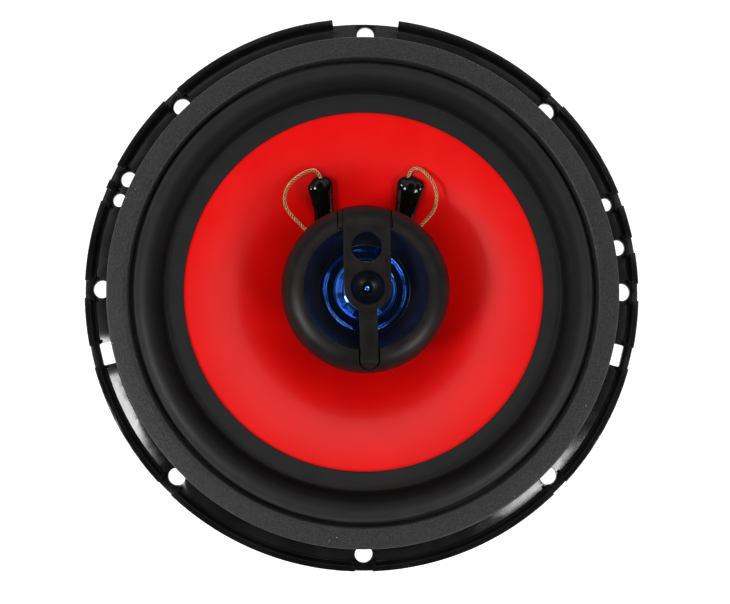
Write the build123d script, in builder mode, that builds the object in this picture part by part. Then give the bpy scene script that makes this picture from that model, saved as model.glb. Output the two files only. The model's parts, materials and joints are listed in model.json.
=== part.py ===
"""Coaxial car speaker of the 165 mm class.

Units are millimetres and +Z is the listening direction.  The origin is the centre of the mounting
plane, the rear face of the flange, so everything behind the panel has negative Z.
"""
import os
from math import cos, hypot, pi, radians, sin, sqrt, tan

from build123d import *

os.makedirs("parts", exist_ok=True)

# ------------------------------------------------------------------ driving dimensions
# Flange and basket, a stamped steel frame
flange_r = 82.5          # outer radius of the flange
sheet = 1.0              # steel sheet thickness
lip_top = 2.4            # front of the raised lip at the flange's edge
lip_inner_r = 80.9       # where the lip's flat top starts
trough_r = 79.6          # bottom of the shallow trough inside the lip
slope_r = 76.3           # top of the slope that falls outward from the gasket
seat_z = 2.6             # front of the seat that carries the surround and the gasket
seat_outer_r = 75.4
seat_inner_r = 68.4
window_top = (67.6, -6.0)        # inner skin at the top of the legs, as radius and height
ledge_z = -25.5                  # front of the ledge that carries the spider
ledge_outer_r = 45.2
ledge_inner_r = 36.6
floor_z = -32.0                  # front of the basket's floor
floor_outer_r = 34.4
floor_bore_r = 20.5

# Holes through the flange
hole_circle_r = 77.6             # every hole is centred on this circle
bolt_r = 2.6
bolt_angles = [45 * k for k in range(8)]
spare_bolt_r = 2.35
spare_bolt_angles = [10, 155]
pilot_r = 2.0
pilot_angles = [20, 160]
clip_slot = (4.2, 6.5)           # radial and tangential size of the two clip slots
clip_slot_angles = [-14, 194]
top_notch_half_angle = 7.0       # the lip is cut away over this angle each side of the top
top_notch_r = 80.9

# Legs, vents and the ear of the terminal board
window_count = 4
window_inner_r = 48.5
window_outer_r = 65.5
window_half_angle = 34.0
window_corner_r = 5.0
window_height = 18.0             # reaches through the sloping legs only
leg_rib_half = 1.8               # half width of the rib down the back of each leg
leg_rib_r = (48.0, 66.0)         # where the rib starts and ends
leg_rib_depth = 1.9              # from the middle of the leg's sheet to the rib's crest
vent_r = 2.1
vent_count = 12
ear_width = 22.0
ear_reach = 53.5
board_rivets_at = [(-7, ear_reach - 3.5), (7, ear_reach - 3.5)]

# Soft parts at the rim
gasket_r = (68.7, 74.9)
gasket_top = 8.2
surround_t = 0.5
roll_r = 63.5                    # middle radius of the half roll
roll_half = 4.75                 # outside radius of the half roll's section
cone_rim_r = 58.6
cone_edge_r = 53.3               # where the surround's inner flat ends on the cone

# Cone, voice coil and spider
cone_t = 0.6
cone_rim_z = 3.3
neck_z = -19.4
cone_bulge = 3.4                 # how far the flare stands proud of a straight cone
former_r = (12.6, 12.85)
winding_r = 13.35
former_z = (-42.0, -19.0)
winding_z = (-40.5, -30.5)
spider_t = 0.4
spider_wave = 1.0                # height of each corrugation
spider_waves = 10

# Motor
top_plate_r = (13.85, 37.5)
top_plate_z = (-38.0, -33.0)
magnet_r = (16.0, 40.0)
magnet_z = (-53.0, -38.0)
yoke_r = 37.5
back_z = -58.0
pole_r = 12.15
pole_z = -33.5
rivet_circle_r = 28.0
rivet_r = 1.6

# Tweeter post and its screw
post_r = 4.0
post_shoulder_r = 6.2
post_bottom_z = -50.0
post_screw_r = 2.0
post_thread_z = -40.0            # end of the thread cut into the post
screw_head_r = 4.4
screw_head_z = -57.3             # back of the screw's head, inside the yoke's recess
recess_r = 5.2
recess_z = -54.5

# Tweeter housing
rim_r = 24.35
crease = (17.7, 17.0)            # edge between the bowl and the rim, which falls away outward
rim_wall = 1.25
bowl_floor = (13.2, 7.1)
bowl_middle = (16.1, 11.0)
well_r = 13.2                    # inside radius of the well that holds the middle driver
cup_base_z = -6.2
cup_floor_z = 2.5
housing_turn = 1.5               # the housing is turned this many degrees about the axis
housing_screw_circle_r = 19.0
housing_screw_angles = [30, 150, 270]

# Bridge across the housing
bridge_shift = 0.4               # the bridge sits this far to +X in its slot
bridge_half = 6.65
slot_half = 7.85
bridge_z = (15.5, 17.15)
bar_end = 18.2                   # where the flat bar runs into the rim
upper_hole = (11.6, 4.4)         # distance along the bridge and radius
cup_hole_r = 4.95
strap_half = 2.55
strap_end = -23.0
strap_round_y = strap_end + strap_half   # middle of the strap's round end
strap_seat_z = 13.6              # bottom of the strap's slot in the rim
strap_gap = 0.45                 # open line between the strap and its slot
strap_top = 16.1

# Middle driver
mid_edge_z = 5.9                 # front of the diaphragm's clamped edge
mid_gap_r = (8.85, 10.2)
mid_coil_r = (9.25, 9.75)

# Leads
lead_d = 1.1


def at(radius, angle):
    """A point on a circle about the axis."""
    return (radius * cos(radians(angle)), radius * sin(radians(angle)))


def cone_front(radius):
    """Height of the cone's front face at a radius between the neck and the rim."""
    (r0, z0), (r1, z1) = (former_r[1], neck_z), (cone_edge_r, cone_rim_z)
    chord = hypot(r1 - r0, z1 - z0)
    arc_r = (chord ** 2 / 4 + cone_bulge ** 2) / (2 * cone_bulge)
    drop = arc_r - cone_bulge
    centre_r = (r0 + r1) / 2 + drop * (z1 - z0) / chord
    centre_z = (z0 + z1) / 2 - drop * (r1 - r0) / chord
    return centre_z + sqrt(arc_r ** 2 - (radius - centre_r) ** 2)


# ------------------------------------------------------------------ basket
with BuildSketch() as window:
    with BuildLine():
        for radius in (window_inner_r, window_outer_r):
            ThreePointArc(at(radius, -window_half_angle), at(radius, 0), at(radius, window_half_angle))
        for side in (-window_half_angle, window_half_angle):
            Line(at(window_inner_r, side), at(window_outer_r, side))
    make_face()
    fillet(window.vertices(), window_corner_r)

with BuildPart() as basket:
    with BuildSketch(Plane.XZ) as section:
        with BuildLine():
            Polyline(
                (flange_r, lip_top), (lip_inner_r, lip_top), (lip_inner_r - 1.0, sheet),
                (trough_r - 0.3, sheet), (slope_r, 1.9), (seat_outer_r, seat_z), (seat_inner_r, seat_z),
                window_top, (ledge_outer_r, ledge_z), (ledge_inner_r, ledge_z), (floor_outer_r, floor_z),
                (floor_bore_r, floor_z), (floor_bore_r, floor_z - sheet),
                (floor_outer_r + 0.7, floor_z - sheet), (ledge_inner_r + 0.7, ledge_z - sheet),
                (ledge_outer_r + 0.4, ledge_z - sheet),
                (window_top[0] + 1.1, window_top[1] - 0.4), (seat_inner_r + 0.9, seat_z - sheet),
                (seat_outer_r - 1.2, seat_z - sheet), (seat_outer_r - 0.8, 0), (trough_r + 0.8, 0),
                (lip_inner_r + 0.4, lip_top - sheet), (flange_r, lip_top - sheet), close=True,
            )
        make_face()
        fillet(section.vertices(), 0.3)
    revolve(axis=Axis.Z)

    # the four windows, and a rib down the middle of each leg between them
    with BuildSketch(Plane.XY.offset(ledge_z + 0.5)):
        with PolarLocations(0, window_count):
            add(window.sketch)
    extrude(amount=window_height, mode=Mode.SUBTRACT)
    run, fall = window_top[0] - ledge_outer_r, window_top[1] - ledge_z
    slant = Vector(fall, -run).normalized()
    crest = []
    for radius in reversed(leg_rib_r):
        middle = Vector(radius, window_top[1] - (window_top[0] - radius) * fall / run) + slant * sheet / 2
        crest.append((middle, middle + slant * leg_rib_depth))
    (high_root, high_crest), (low_root, low_crest) = crest
    for leg in range(window_count):
        outward = Vector(*at(1, 360 / window_count * (leg + 0.5)), 0)
        with BuildSketch(Plane(origin=(0, 0, 0), x_dir=outward, z_dir=outward.cross(Vector(0, 0, 1)))):
            with BuildLine():
                Polyline(high_root, low_root, low_crest + (leg_rib_half, leg_rib_half),
                         high_crest - (leg_rib_half, leg_rib_half), close=True)
            make_face()
        extrude(amount=leg_rib_half, both=True)

    # ear that carries the terminal board, level with the spider's ledge
    with BuildSketch(Plane.XY.offset(ledge_z - sheet)):
        with Locations((0, (ledge_outer_r - 3 + ear_reach) / 2)):
            RectangleRounded(ear_width, ear_reach - ledge_outer_r + 3, 1.5)
    extrude(amount=sheet)

    # flat pockets through the lip at every hole, each with its two side walls
    pockets = [(angle, 2 * bolt_r) for angle in bolt_angles if angle != 90]
    pockets += [(angle, 2 * spare_bolt_r) for angle in spare_bolt_angles]
    pockets += [(angle, 2 * pilot_r) for angle in pilot_angles]
    pockets += [(angle, clip_slot[1]) for angle in clip_slot_angles]
    for angle, width in pockets:
        radial = Plane.XY.rotated((0, 0, angle))
        with BuildSketch(radial):
            with Locations((trough_r + 1.7, 0)):
                Rectangle(3.6, width + 2 * sheet)
        extrude(amount=lip_top - 0.25)
    with BuildSketch():
        Circle(flange_r)
    extrude(amount=2 * flange_r, both=True, mode=Mode.INTERSECT)
    for angle, width in pockets:
        with BuildSketch(Plane.XY.rotated((0, 0, angle)).offset(sheet)):
            with Locations((trough_r + 2, 0)):
                Rectangle(5.0, width)
        extrude(amount=5, mode=Mode.SUBTRACT)

    # the lip ends short at the top, where the flange is a flat pad
    with BuildSketch() as pad:
        with BuildLine():
            low, high = 90 - top_notch_half_angle, 90 + top_notch_half_angle
            ThreePointArc(at(slope_r, low), at(slope_r, 90), at(slope_r, high))
            ThreePointArc(at(flange_r + 1, low), at(flange_r + 1, 90), at(flange_r + 1, high))
            Line(at(slope_r, low), at(flange_r + 1, low))
            Line(at(slope_r, high), at(flange_r + 1, high))
        make_face()
    extrude(amount=5, mode=Mode.SUBTRACT)
    with BuildSketch():
        add(pad.sketch)
        Circle(top_notch_r, mode=Mode.INTERSECT)
    extrude(amount=sheet + 0.3)

    # through holes
    with BuildSketch(Plane.XY.offset(-1)):
        for radius, angles in (
            (bolt_r, bolt_angles), (spare_bolt_r, spare_bolt_angles), (pilot_r, pilot_angles),
        ):
            for angle in angles:
                with Locations(at(hole_circle_r, angle)):
                    Circle(radius)
        for angle in clip_slot_angles:
            with Locations(Location((*at(hole_circle_r + 0.2, angle), 0), (0, 0, angle))):
                RectangleRounded(clip_slot[0], clip_slot[1], 0.5)
    extrude(amount=lip_top + 3, mode=Mode.SUBTRACT)
    with BuildSketch(Plane.XY.offset(ledge_z - 2)):
        with Locations(board_rivets_at):
            Circle(rivet_r)
    extrude(amount=4, mode=Mode.SUBTRACT)
    with BuildSketch(Plane.XY.offset(floor_z - 2)):
        with PolarLocations(rivet_circle_r, 4, start_angle=45):
            Circle(rivet_r)
    extrude(amount=4, mode=Mode.SUBTRACT)
    vent_z = (ledge_z + floor_z - sheet) / 2
    for vent in range(vent_count):
        outward = Plane(origin=(0, 0, vent_z), z_dir=(*at(1, 360 / vent_count * (vent + 0.5)), 0))
        with BuildSketch(outward.offset(ledge_inner_r - 6)):
            Circle(vent_r)
        extrude(amount=8, mode=Mode.SUBTRACT)
basket.part.label = "basket"
export_step(basket.part, "parts/basket.step")

# ------------------------------------------------------------------ gasket, surround and cone
with BuildPart() as gasket:
    with BuildSketch(Plane.XZ) as section:
        with BuildLine():
            low = seat_z + surround_t
            Polyline((gasket_r[0], low), (gasket_r[1], low), (gasket_r[1], gasket_top),
                     (gasket_r[0], gasket_top - 0.3), close=True)
        make_face()
        fillet(section.vertices().group_by(Axis.Y)[-1] + section.vertices().group_by(Axis.Y)[-2], 0.7)
    revolve(axis=Axis.Z)
gasket.part.label = "gasket"
export_step(gasket.part, "parts/gasket.step")


def on_roll(section_r, height):
    """How far from the roll's middle its section reaches at a height."""
    return sqrt(section_r ** 2 - (height - roll_base) ** 2)


roll_base = 3.2
with BuildPart() as surround:
    with BuildSketch(Plane.XZ):
        with BuildLine():
            skin = roll_half - surround_t
            seat_top = seat_z + surround_t
            flat_top = cone_rim_z + surround_t
            inner_foot = (roll_r - on_roll(roll_half, flat_top), flat_top)
            outer_foot = (roll_r + on_roll(roll_half, seat_top), seat_top)
            outer_heel = (roll_r + on_roll(skin, seat_z), seat_z)
            inner_heel = (roll_r - on_roll(skin, cone_rim_z), cone_rim_z)
            Polyline((cone_edge_r, cone_rim_z), (cone_edge_r, flat_top), inner_foot)
            ThreePointArc(inner_foot, (roll_r, roll_base + roll_half), outer_foot)
            Polyline(outer_foot, (gasket_r[1], seat_top), (gasket_r[1], seat_z), outer_heel)
            ThreePointArc(outer_heel, (roll_r, roll_base + skin), inner_heel)
            Line(inner_heel, (cone_edge_r, cone_rim_z))
        make_face()
    revolve(axis=Axis.Z)
surround.part.label = "surround"
export_step(surround.part, "parts/surround.step")

with BuildPart() as cone:
    with BuildSketch(Plane.XZ):
        with BuildLine():
            neck_top = (former_r[1], neck_z)
            edge_top = (cone_edge_r, cone_rim_z)
            neck_low = (former_r[1] + cone_t, cone_front(former_r[1] + cone_t) - 0.85)
            edge_low = (cone_edge_r, cone_rim_z - cone_t)
            middle = (former_r[1] + cone_edge_r) / 2
            ThreePointArc(edge_top, (middle, cone_front(middle)), neck_top)
            Polyline(neck_top, (former_r[1], neck_z - 2.6), (former_r[1] + cone_t, neck_z - 2.6), neck_low)
            ThreePointArc(neck_low, (middle, cone_front(middle) - 0.68), edge_low)
            Polyline(edge_low, (cone_rim_r, cone_rim_z - cone_t), (cone_rim_r, cone_rim_z), edge_top)
        make_face()
    revolve(axis=Axis.Z)
cone.part.label = "cone"
export_step(cone.part, "parts/cone.step")

# ------------------------------------------------------------------ voice coil and spider
with BuildPart() as former:
    with BuildSketch(Plane.XY.offset(former_z[0])):
        Circle(former_r[1])
        Circle(former_r[0], mode=Mode.SUBTRACT)
    extrude(amount=former_z[1] - former_z[0])
former.part.label = "voice_coil_former"
export_step(former.part, "parts/voice_coil_former.step")

with BuildPart() as winding:
    with BuildSketch(Plane.XY.offset(winding_z[0])):
        Circle(winding_r)
        Circle(former_r[1], mode=Mode.SUBTRACT)
    extrude(amount=winding_z[1] - winding_z[0])
winding.part.label = "voice_coil_winding"
export_step(winding.part, "parts/voice_coil_winding.step")

spider_foot = ledge_z + spider_t / 2
collar_r = former_r[1] + 0.8
with BuildPart() as spider:
    with BuildSketch(Plane.XZ):
        with BuildLine():
            wave = (ledge_inner_r - 0.4 - collar_r) / spider_waves
            low, high = spider_foot - spider_t / 2, spider_foot + spider_t / 2
            for level in (low, high):
                for half in range(spider_waves):
                    start = collar_r + half * wave
                    lift = spider_wave if half % 2 else -spider_wave
                    ThreePointArc((start, level), (start + wave / 2, level + lift), (start + wave, level))
            rim = collar_r + spider_waves * wave
            Polyline((rim, low), (ledge_outer_r - 0.5, low), (ledge_outer_r - 0.5, high), (rim, high))
            Polyline((collar_r, low), (collar_r, low - 0.7), (former_r[1], low - 0.7),
                     (former_r[1], high + 0.9), (collar_r, high + 0.9), (collar_r, high))
        make_face()
    revolve(axis=Axis.Z)
spider.part.label = "spider"
export_step(spider.part, "parts/spider.step")

# ------------------------------------------------------------------ motor
with BuildPart() as top_plate:
    with BuildSketch(Plane.XY.offset(top_plate_z[0])):
        Circle(top_plate_r[1])
        Circle(top_plate_r[0], mode=Mode.SUBTRACT)
    extrude(amount=top_plate_z[1] - top_plate_z[0])
    chamfer(top_plate.edges().filter_by(GeomType.CIRCLE).group_by(SortBy.RADIUS)[-1], 0.4)
    with BuildSketch(Plane.XY.offset(top_plate_z[1])):
        with PolarLocations(rivet_circle_r, 4, start_angle=45):
            Circle(rivet_r)
    extrude(amount=-3, mode=Mode.SUBTRACT)
top_plate.part.label = "top_plate"
export_step(top_plate.part, "parts/top_plate.step")

with BuildPart() as magnet:
    with BuildSketch(Plane.XY.offset(magnet_z[0])):
        Circle(magnet_r[1])
        Circle(magnet_r[0], mode=Mode.SUBTRACT)
    extrude(amount=magnet_z[1] - magnet_z[0])
    chamfer(magnet.edges().filter_by(GeomType.CIRCLE).group_by(SortBy.RADIUS)[-1], 1.0)
magnet.part.label = "magnet"
export_step(magnet.part, "parts/magnet.step")

with BuildPart() as yoke:
    with BuildSketch(Plane.XZ) as section:
        with BuildLine():
            bore_r = post_screw_r + 0.2
            Polyline((recess_r, back_z), (yoke_r, back_z), (yoke_r, magnet_z[0]), (pole_r, magnet_z[0]),
                     (pole_r, pole_z), (post_r, pole_z), (post_r, post_bottom_z), (bore_r, post_bottom_z),
                     (bore_r, recess_z), (recess_r, recess_z), close=True)
        make_face()
    revolve(axis=Axis.Z)
    chamfer(yoke.edges().filter_by(GeomType.CIRCLE).group_by(SortBy.RADIUS)[-1], 1.2)
    chamfer(yoke.edges().filter_by(GeomType.CIRCLE).group_by(Axis.Z)[-1].sort_by(SortBy.RADIUS)[-1], 0.5)
yoke.part.label = "t_yoke"
export_step(yoke.part, "parts/t_yoke.step")

with BuildPart() as basket_rivets:
    with BuildSketch(Plane.XY.offset(top_plate_z[1] - 3)):
        with PolarLocations(rivet_circle_r, 4, start_angle=45):
            Circle(rivet_r)
    extrude(amount=3 + sheet)
    with BuildSketch(Plane.XY.offset(floor_z)):
        with PolarLocations(rivet_circle_r, 4, start_angle=45):
            Circle(2.7)
    extrude(amount=1.2)
    fillet(basket_rivets.edges().group_by(Axis.Z)[-1], 0.8)
basket_rivets.part.label = "basket_rivets"
export_step(basket_rivets.part, "parts/basket_rivets.step")

# ------------------------------------------------------------------ tweeter post and its screw
with BuildPart() as post:
    with BuildSketch(Plane.XZ):
        with BuildLine():
            Polyline((0, post_thread_z), (post_screw_r, post_thread_z), (post_screw_r, post_bottom_z),
                     (post_r, post_bottom_z), (post_r, pole_z), (post_shoulder_r, pole_z),
                     (post_shoulder_r, pole_z + 3), (post_r, pole_z + 6), (post_r, cup_base_z),
                     (0, cup_base_z), close=True)
        make_face()
    revolve(axis=Axis.Z)
post.part.label = "tweeter_post"
export_step(post.part, "parts/tweeter_post.step")

with BuildPart() as post_screw:
    with BuildSketch(Plane.XY.offset(screw_head_z)):
        Circle(screw_head_r)
    extrude(amount=recess_z - screw_head_z)
    fillet(post_screw.edges().group_by(Axis.Z)[0], 0.9)
    with BuildSketch(Plane.XY.offset(recess_z)):
        Circle(post_screw_r)
    extrude(amount=post_thread_z - recess_z - 0.5)
    with BuildSketch(Plane.XY.offset(screw_head_z)):
        Rectangle(screw_head_r, 0.9)
        Rectangle(0.9, screw_head_r)
    extrude(amount=1.5, mode=Mode.SUBTRACT)
post_screw.part.label = "post_screw"
export_step(post_screw.part, "parts/post_screw.step")

# ------------------------------------------------------------------ terminal board
board_z = ledge_z - sheet
board_t = 1.6
board_size = (27, 16)
board_y = 54.5
lug_x = 7.5
eyelets_at = [(-lug_x, 57.5), (lug_x, 57.5)]
eyelet_r = 1.2
with BuildPart() as terminal_board:
    with BuildSketch(Plane.XY.offset(board_z - board_t)):
        with Locations((0, board_y)):
            RectangleRounded(*board_size, 1.5)
        with Locations(board_rivets_at):
            Circle(rivet_r, mode=Mode.SUBTRACT)
        with Locations(eyelets_at):
            Circle(eyelet_r, mode=Mode.SUBTRACT)
    extrude(amount=board_t)
terminal_board.part.label = "terminal_board"
export_step(terminal_board.part, "parts/terminal_board.step")

with BuildPart() as board_rivets:
    with BuildSketch(Plane.XY.offset(board_z - board_t)):
        with Locations(board_rivets_at):
            Circle(rivet_r)
    extrude(amount=board_t + sheet)
    for level, height in ((ledge_z, 0.9), (board_z - board_t, -0.9)):
        with BuildSketch(Plane.XY.offset(level)):
            with Locations(board_rivets_at):
                Circle(2.6)
        extrude(amount=height)
    fillet(board_rivets.edges().group_by(Axis.Z)[-1] + board_rivets.edges().group_by(Axis.Z)[0], 0.6)
board_rivets.part.label = "board_rivets"
export_step(board_rivets.part, "parts/board_rivets.step")

lug_t = 0.8
tag_top = -21.5
blade_y = (54.6, 69.0, 70.0)     # foot, start of the chamfered tip, and tip
for name, side, blade_width in (("positive_lug", -1, 6.3), ("negative_lug", 1, 4.8)):
    with BuildPart() as lug:
        with BuildSketch(Plane.XY.offset(board_z)):
            with BuildLine():
                half = blade_width / 2
                centre = side * lug_x
                foot, shoulder, tip = blade_y
                Polyline((centre - half, foot), (centre - half, shoulder), (centre - half + 1.0, tip),
                         (centre + half - 1.0, tip), (centre + half, shoulder), (centre + half, foot),
                         close=True)
            make_face()
            with Locations(eyelets_at):
                Circle(eyelet_r, mode=Mode.SUBTRACT)
            with Locations((centre, 66.0)):
                Circle(0.9, mode=Mode.SUBTRACT)
        extrude(amount=lug_t)
        with BuildSketch(Plane.XY.offset(board_z)):
            with Locations((centre, 55.0)):
                Rectangle(3.4, lug_t)
        extrude(amount=tag_top - board_z)
    lug.part.label = name
    export_step(lug.part, f"parts/{name}.step")

with BuildPart() as lug_eyelets:
    for level, height, radius in (
        (board_z - board_t - 0.5, 0.5, 2.0), (board_z - board_t, board_t + lug_t, eyelet_r),
        (board_z + lug_t, 0.5, 1.8),
    ):
        with BuildSketch(Plane.XY.offset(level)):
            with Locations(eyelets_at):
                Circle(radius)
        extrude(amount=height)
lug_eyelets.part.label = "lug_eyelets"
export_step(lug_eyelets.part, "parts/lug_eyelets.step")

# ------------------------------------------------------------------ glue boots on the cone
# Each boot lies on the cone's slope: a narrow neck towards the housing and a round outer end.
boots = {
    "left": {"neck": (-12.3, 23.6), "neck_r": 3.0, "bulb": (-13.4, 31.4), "bulb_r": 3.9},
    "right": {"neck": (12.7, 23.6), "neck_r": 3.0, "bulb": (14.1, 31.9), "bulb_r": 4.2},
}
boot_height = 3.0
for side, boot in boots.items():
    slope_plane = Plane(
        origin=(*boot["bulb"], cone_front(hypot(*boot["bulb"]))),
        z_dir=Vector(-boot["bulb"][0], -boot["bulb"][1], 2.0 * hypot(*boot["bulb"])),
    )
    with BuildPart() as front_glue:
        with BuildSketch(Plane.XY.offset(-16)):
            with Locations(boot["neck"]):
                Circle(boot["neck_r"])
            with Locations(boot["bulb"]):
                Circle(boot["bulb_r"])
            make_hull()
        extrude(amount=24)
        split(bisect_by=slope_plane.offset(boot_height), keep=Keep.BOTTOM)
        fillet(front_glue.faces().sort_by(Axis.Z)[-1].edges(), 1.3)
        with BuildSketch(Plane.XZ):
            with BuildLine():
                ThreePointArc(edge_top, (middle, cone_front(middle)), neck_top)
                Polyline(neck_top, (former_r[1], -30), (cone_edge_r, -30), edge_top)
            make_face()
        revolve(axis=Axis.Z, mode=Mode.SUBTRACT)
    front_glue.part.label = f"front_glue_{side}"
    export_step(front_glue.part, f"parts/front_glue_{side}.step")

rear_glue_z = -7.2
rear_glue_at = {"left": (-12.4, 32.7), "right": (12.9, 32.6)}
for side, centre in rear_glue_at.items():
    with BuildPart() as rear_glue:
        with BuildSketch(Plane.XY.offset(rear_glue_z)):
            with Locations(centre):
                Circle(1.8)
        extrude(amount=8)
        with BuildSketch(Plane.XZ):
            with BuildLine():
                lowest = (middle, cone_front(middle) - 0.68)
                ThreePointArc(edge_low, lowest, neck_low)
                Polyline(neck_low, (neck_low[0], 12), (cone_edge_r, 12), edge_low)
            make_face()
        revolve(axis=Axis.Z, mode=Mode.SUBTRACT)
    rear_glue.part.label = f"rear_glue_{side}"
    export_step(rear_glue.part, f"parts/rear_glue_{side}.step")

# ------------------------------------------------------------------ tinsel leads
anchor_z = 0.6
anchor_reach = 19.5
anchor_angles = {"left": 134.0, "right": 49.5}
entry_reach = 26.6
routes = {
    "front_lead_left": [
        (-13.3, 34.0, -1.0), (-14.3, 36.8, 0.0), (-17.6, 36.0, 0.9), (-21.4, 33.3, 1.6), (-23.8, 29.9, 2.0),
        (-24.1, 25.8, 1.9), (-22.1, 22.5, 1.4), (*at(entry_reach, anchor_angles["left"]), anchor_z),
        (*at(anchor_reach, anchor_angles["left"]), anchor_z),
    ],
    "front_lead_right": [
        (13.2, 34.4, -1.2), (13.6, 36.8, -0.3), (16.2, 37.7, 0.3), (18.9, 35.3, 1.0), (21.1, 31.9, 1.7),
        (21.7, 28.0, 2.0), (21.0, 24.2, 1.7), (*at(entry_reach, anchor_angles["right"]), anchor_z),
        (*at(anchor_reach, anchor_angles["right"]), anchor_z),
    ],
    "rear_lead_left": [
        (*rear_glue_at["left"], rear_glue_z), (*rear_glue_at["left"], -11.8), (-12.5, 35.8, -16.0),
        (-11.4, 41.1, -17.4), (-10.1, 46.2, -16.2), (-8.6, 51.0, -14.9), (-7.5, 55.0, -17.2),
        (-7.5, 55.0, tag_top),
    ],
    "rear_lead_right": [
        (*rear_glue_at["right"], rear_glue_z), (*rear_glue_at["right"], -11.6), (13.1, 36.3, -15.5),
        (11.7, 41.4, -16.7), (10.2, 46.4, -15.4), (8.8, 51.3, -14.6), (7.5, 55.0, -17.0),
        (7.5, 55.0, tag_top),
    ],
}
for name, route in routes.items():
    points = [Vector(*point) for point in route]
    runs = [after - before for before, after in zip(points, points[1:])]
    turns = [before.get_angle(after) for before, after in zip(runs, runs[1:])]
    bends = [0.45 * min(before.length, after.length) / tan(radians(turn) / 2)
             for before, after, turn in zip(runs, runs[1:], turns)]
    with BuildPart() as lead:
        with BuildLine() as path:
            FilletPolyline(*points, radius=bends)
        with BuildSketch(Plane(origin=points[0], z_dir=runs[0])):
            Circle(lead_d / 2)
        sweep()
    length = sum(edge.length for edge in path.edges())
    full = pi * lead_d ** 2 / 4 * length
    print(name, "length", round(length, 1), "bends", [round(bend, 1) for bend in bends],
          "volume ratio", round(lead.part.volume / full, 3))
    lead.part.label = name
    export_step(lead.part, f"parts/{name}.step")

# ------------------------------------------------------------------ tweeter housing
wall = 1.2
cup_rim_z = 9.5
with BuildPart() as cup:
    with BuildSketch(Plane.XZ) as section:
        with BuildLine():
            Polyline((post_r, -9), (6.0, -9), (6.0, cup_base_z), (well_r + 1.0, cup_base_z),
                     (well_r + wall, cup_floor_z), (21.6, cup_floor_z), (23.0, 4.2), (23.6, cup_rim_z),
                     (22.85, cup_rim_z), (22.85, 11.0), (22.2, 11.0), (21.5, 4.9), (20.9, 4.1),
                     (well_r + wall, 4.1), (well_r + wall, 5.6), (well_r, 5.6), (well_r, cup_base_z + 1.4),
                     (0, cup_base_z + 1.4), (0, cup_base_z), (post_r, cup_base_z), close=True)
        make_face()
    revolve(axis=Axis.Z)
    for angle in anchor_angles.values():
        anchor = Plane.XY.rotated((0, 0, angle)).offset(anchor_z - 1.7)
        with BuildSketch(anchor):
            with Locations(((well_r + 0.6 + anchor_reach) / 2, 0)):
                Rectangle(anchor_reach - well_r - 0.6, 3.4)
        extrude(amount=cup_floor_z - anchor_z + 1.8)
    with BuildSketch(Plane.XY.offset(cup_floor_z - 1)):
        for angle in housing_screw_angles:
            with Locations(at(housing_screw_circle_r, angle + housing_turn)):
                Circle(1.2)
    extrude(amount=4, mode=Mode.SUBTRACT)
cup.part.label = "housing_cup"
export_step(cup.part, "parts/housing_cup.step")

bridge_plane = Plane.XY.rotated((0, 0, housing_turn))
bridge_plane.origin = (bridge_shift, 0, 0)
slot_plane = Plane.XY.rotated((0, 0, housing_turn))
rim_arc = rim_r - crease[0]      # the rim's section is a quarter circle from the crease outward
skirt_low = (rim_r - 0.1, cup_rim_z)
skirt_inner_r = 22.95
skirt_z = crease[1] - rim_arc
groove = 0.12                    # how far the liner lies below the rim
slot_gap = 0.3                   # open line between the liner and the rim


def on_rim(depth, angle):
    """A point of the rim's section below its outside, from 0 at the skirt to 90 at the crease."""
    across, up = at(rim_arc - depth, angle)
    return (crease[0] + across, skirt_z + up)


with BuildPart() as slot_liner:
    with BuildSketch(Plane.XZ):
        with BuildLine():
            ThreePointArc(on_rim(groove, 90), on_rim(groove, 45), on_rim(groove, 0))
            Polyline(on_rim(groove, 0), (rim_r - groove, cup_rim_z), (skirt_inner_r, cup_rim_z),
                     on_rim(rim_wall, 0))
            ThreePointArc(on_rim(rim_wall, 0), on_rim(rim_wall, 40), on_rim(rim_wall, 80))
            Line(on_rim(rim_wall, 80), on_rim(groove, 90))
        make_face()
    revolve(axis=Axis.Z)
    with BuildSketch(slot_plane):
        with Locations((0, 22)):
            Rectangle(2 * (slot_half - slot_gap), 10)
        with Locations((bridge_shift, 22)):
            Rectangle(2 * bridge_half + slot_gap, 10, mode=Mode.SUBTRACT)
    extrude(amount=30, mode=Mode.INTERSECT)

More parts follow.
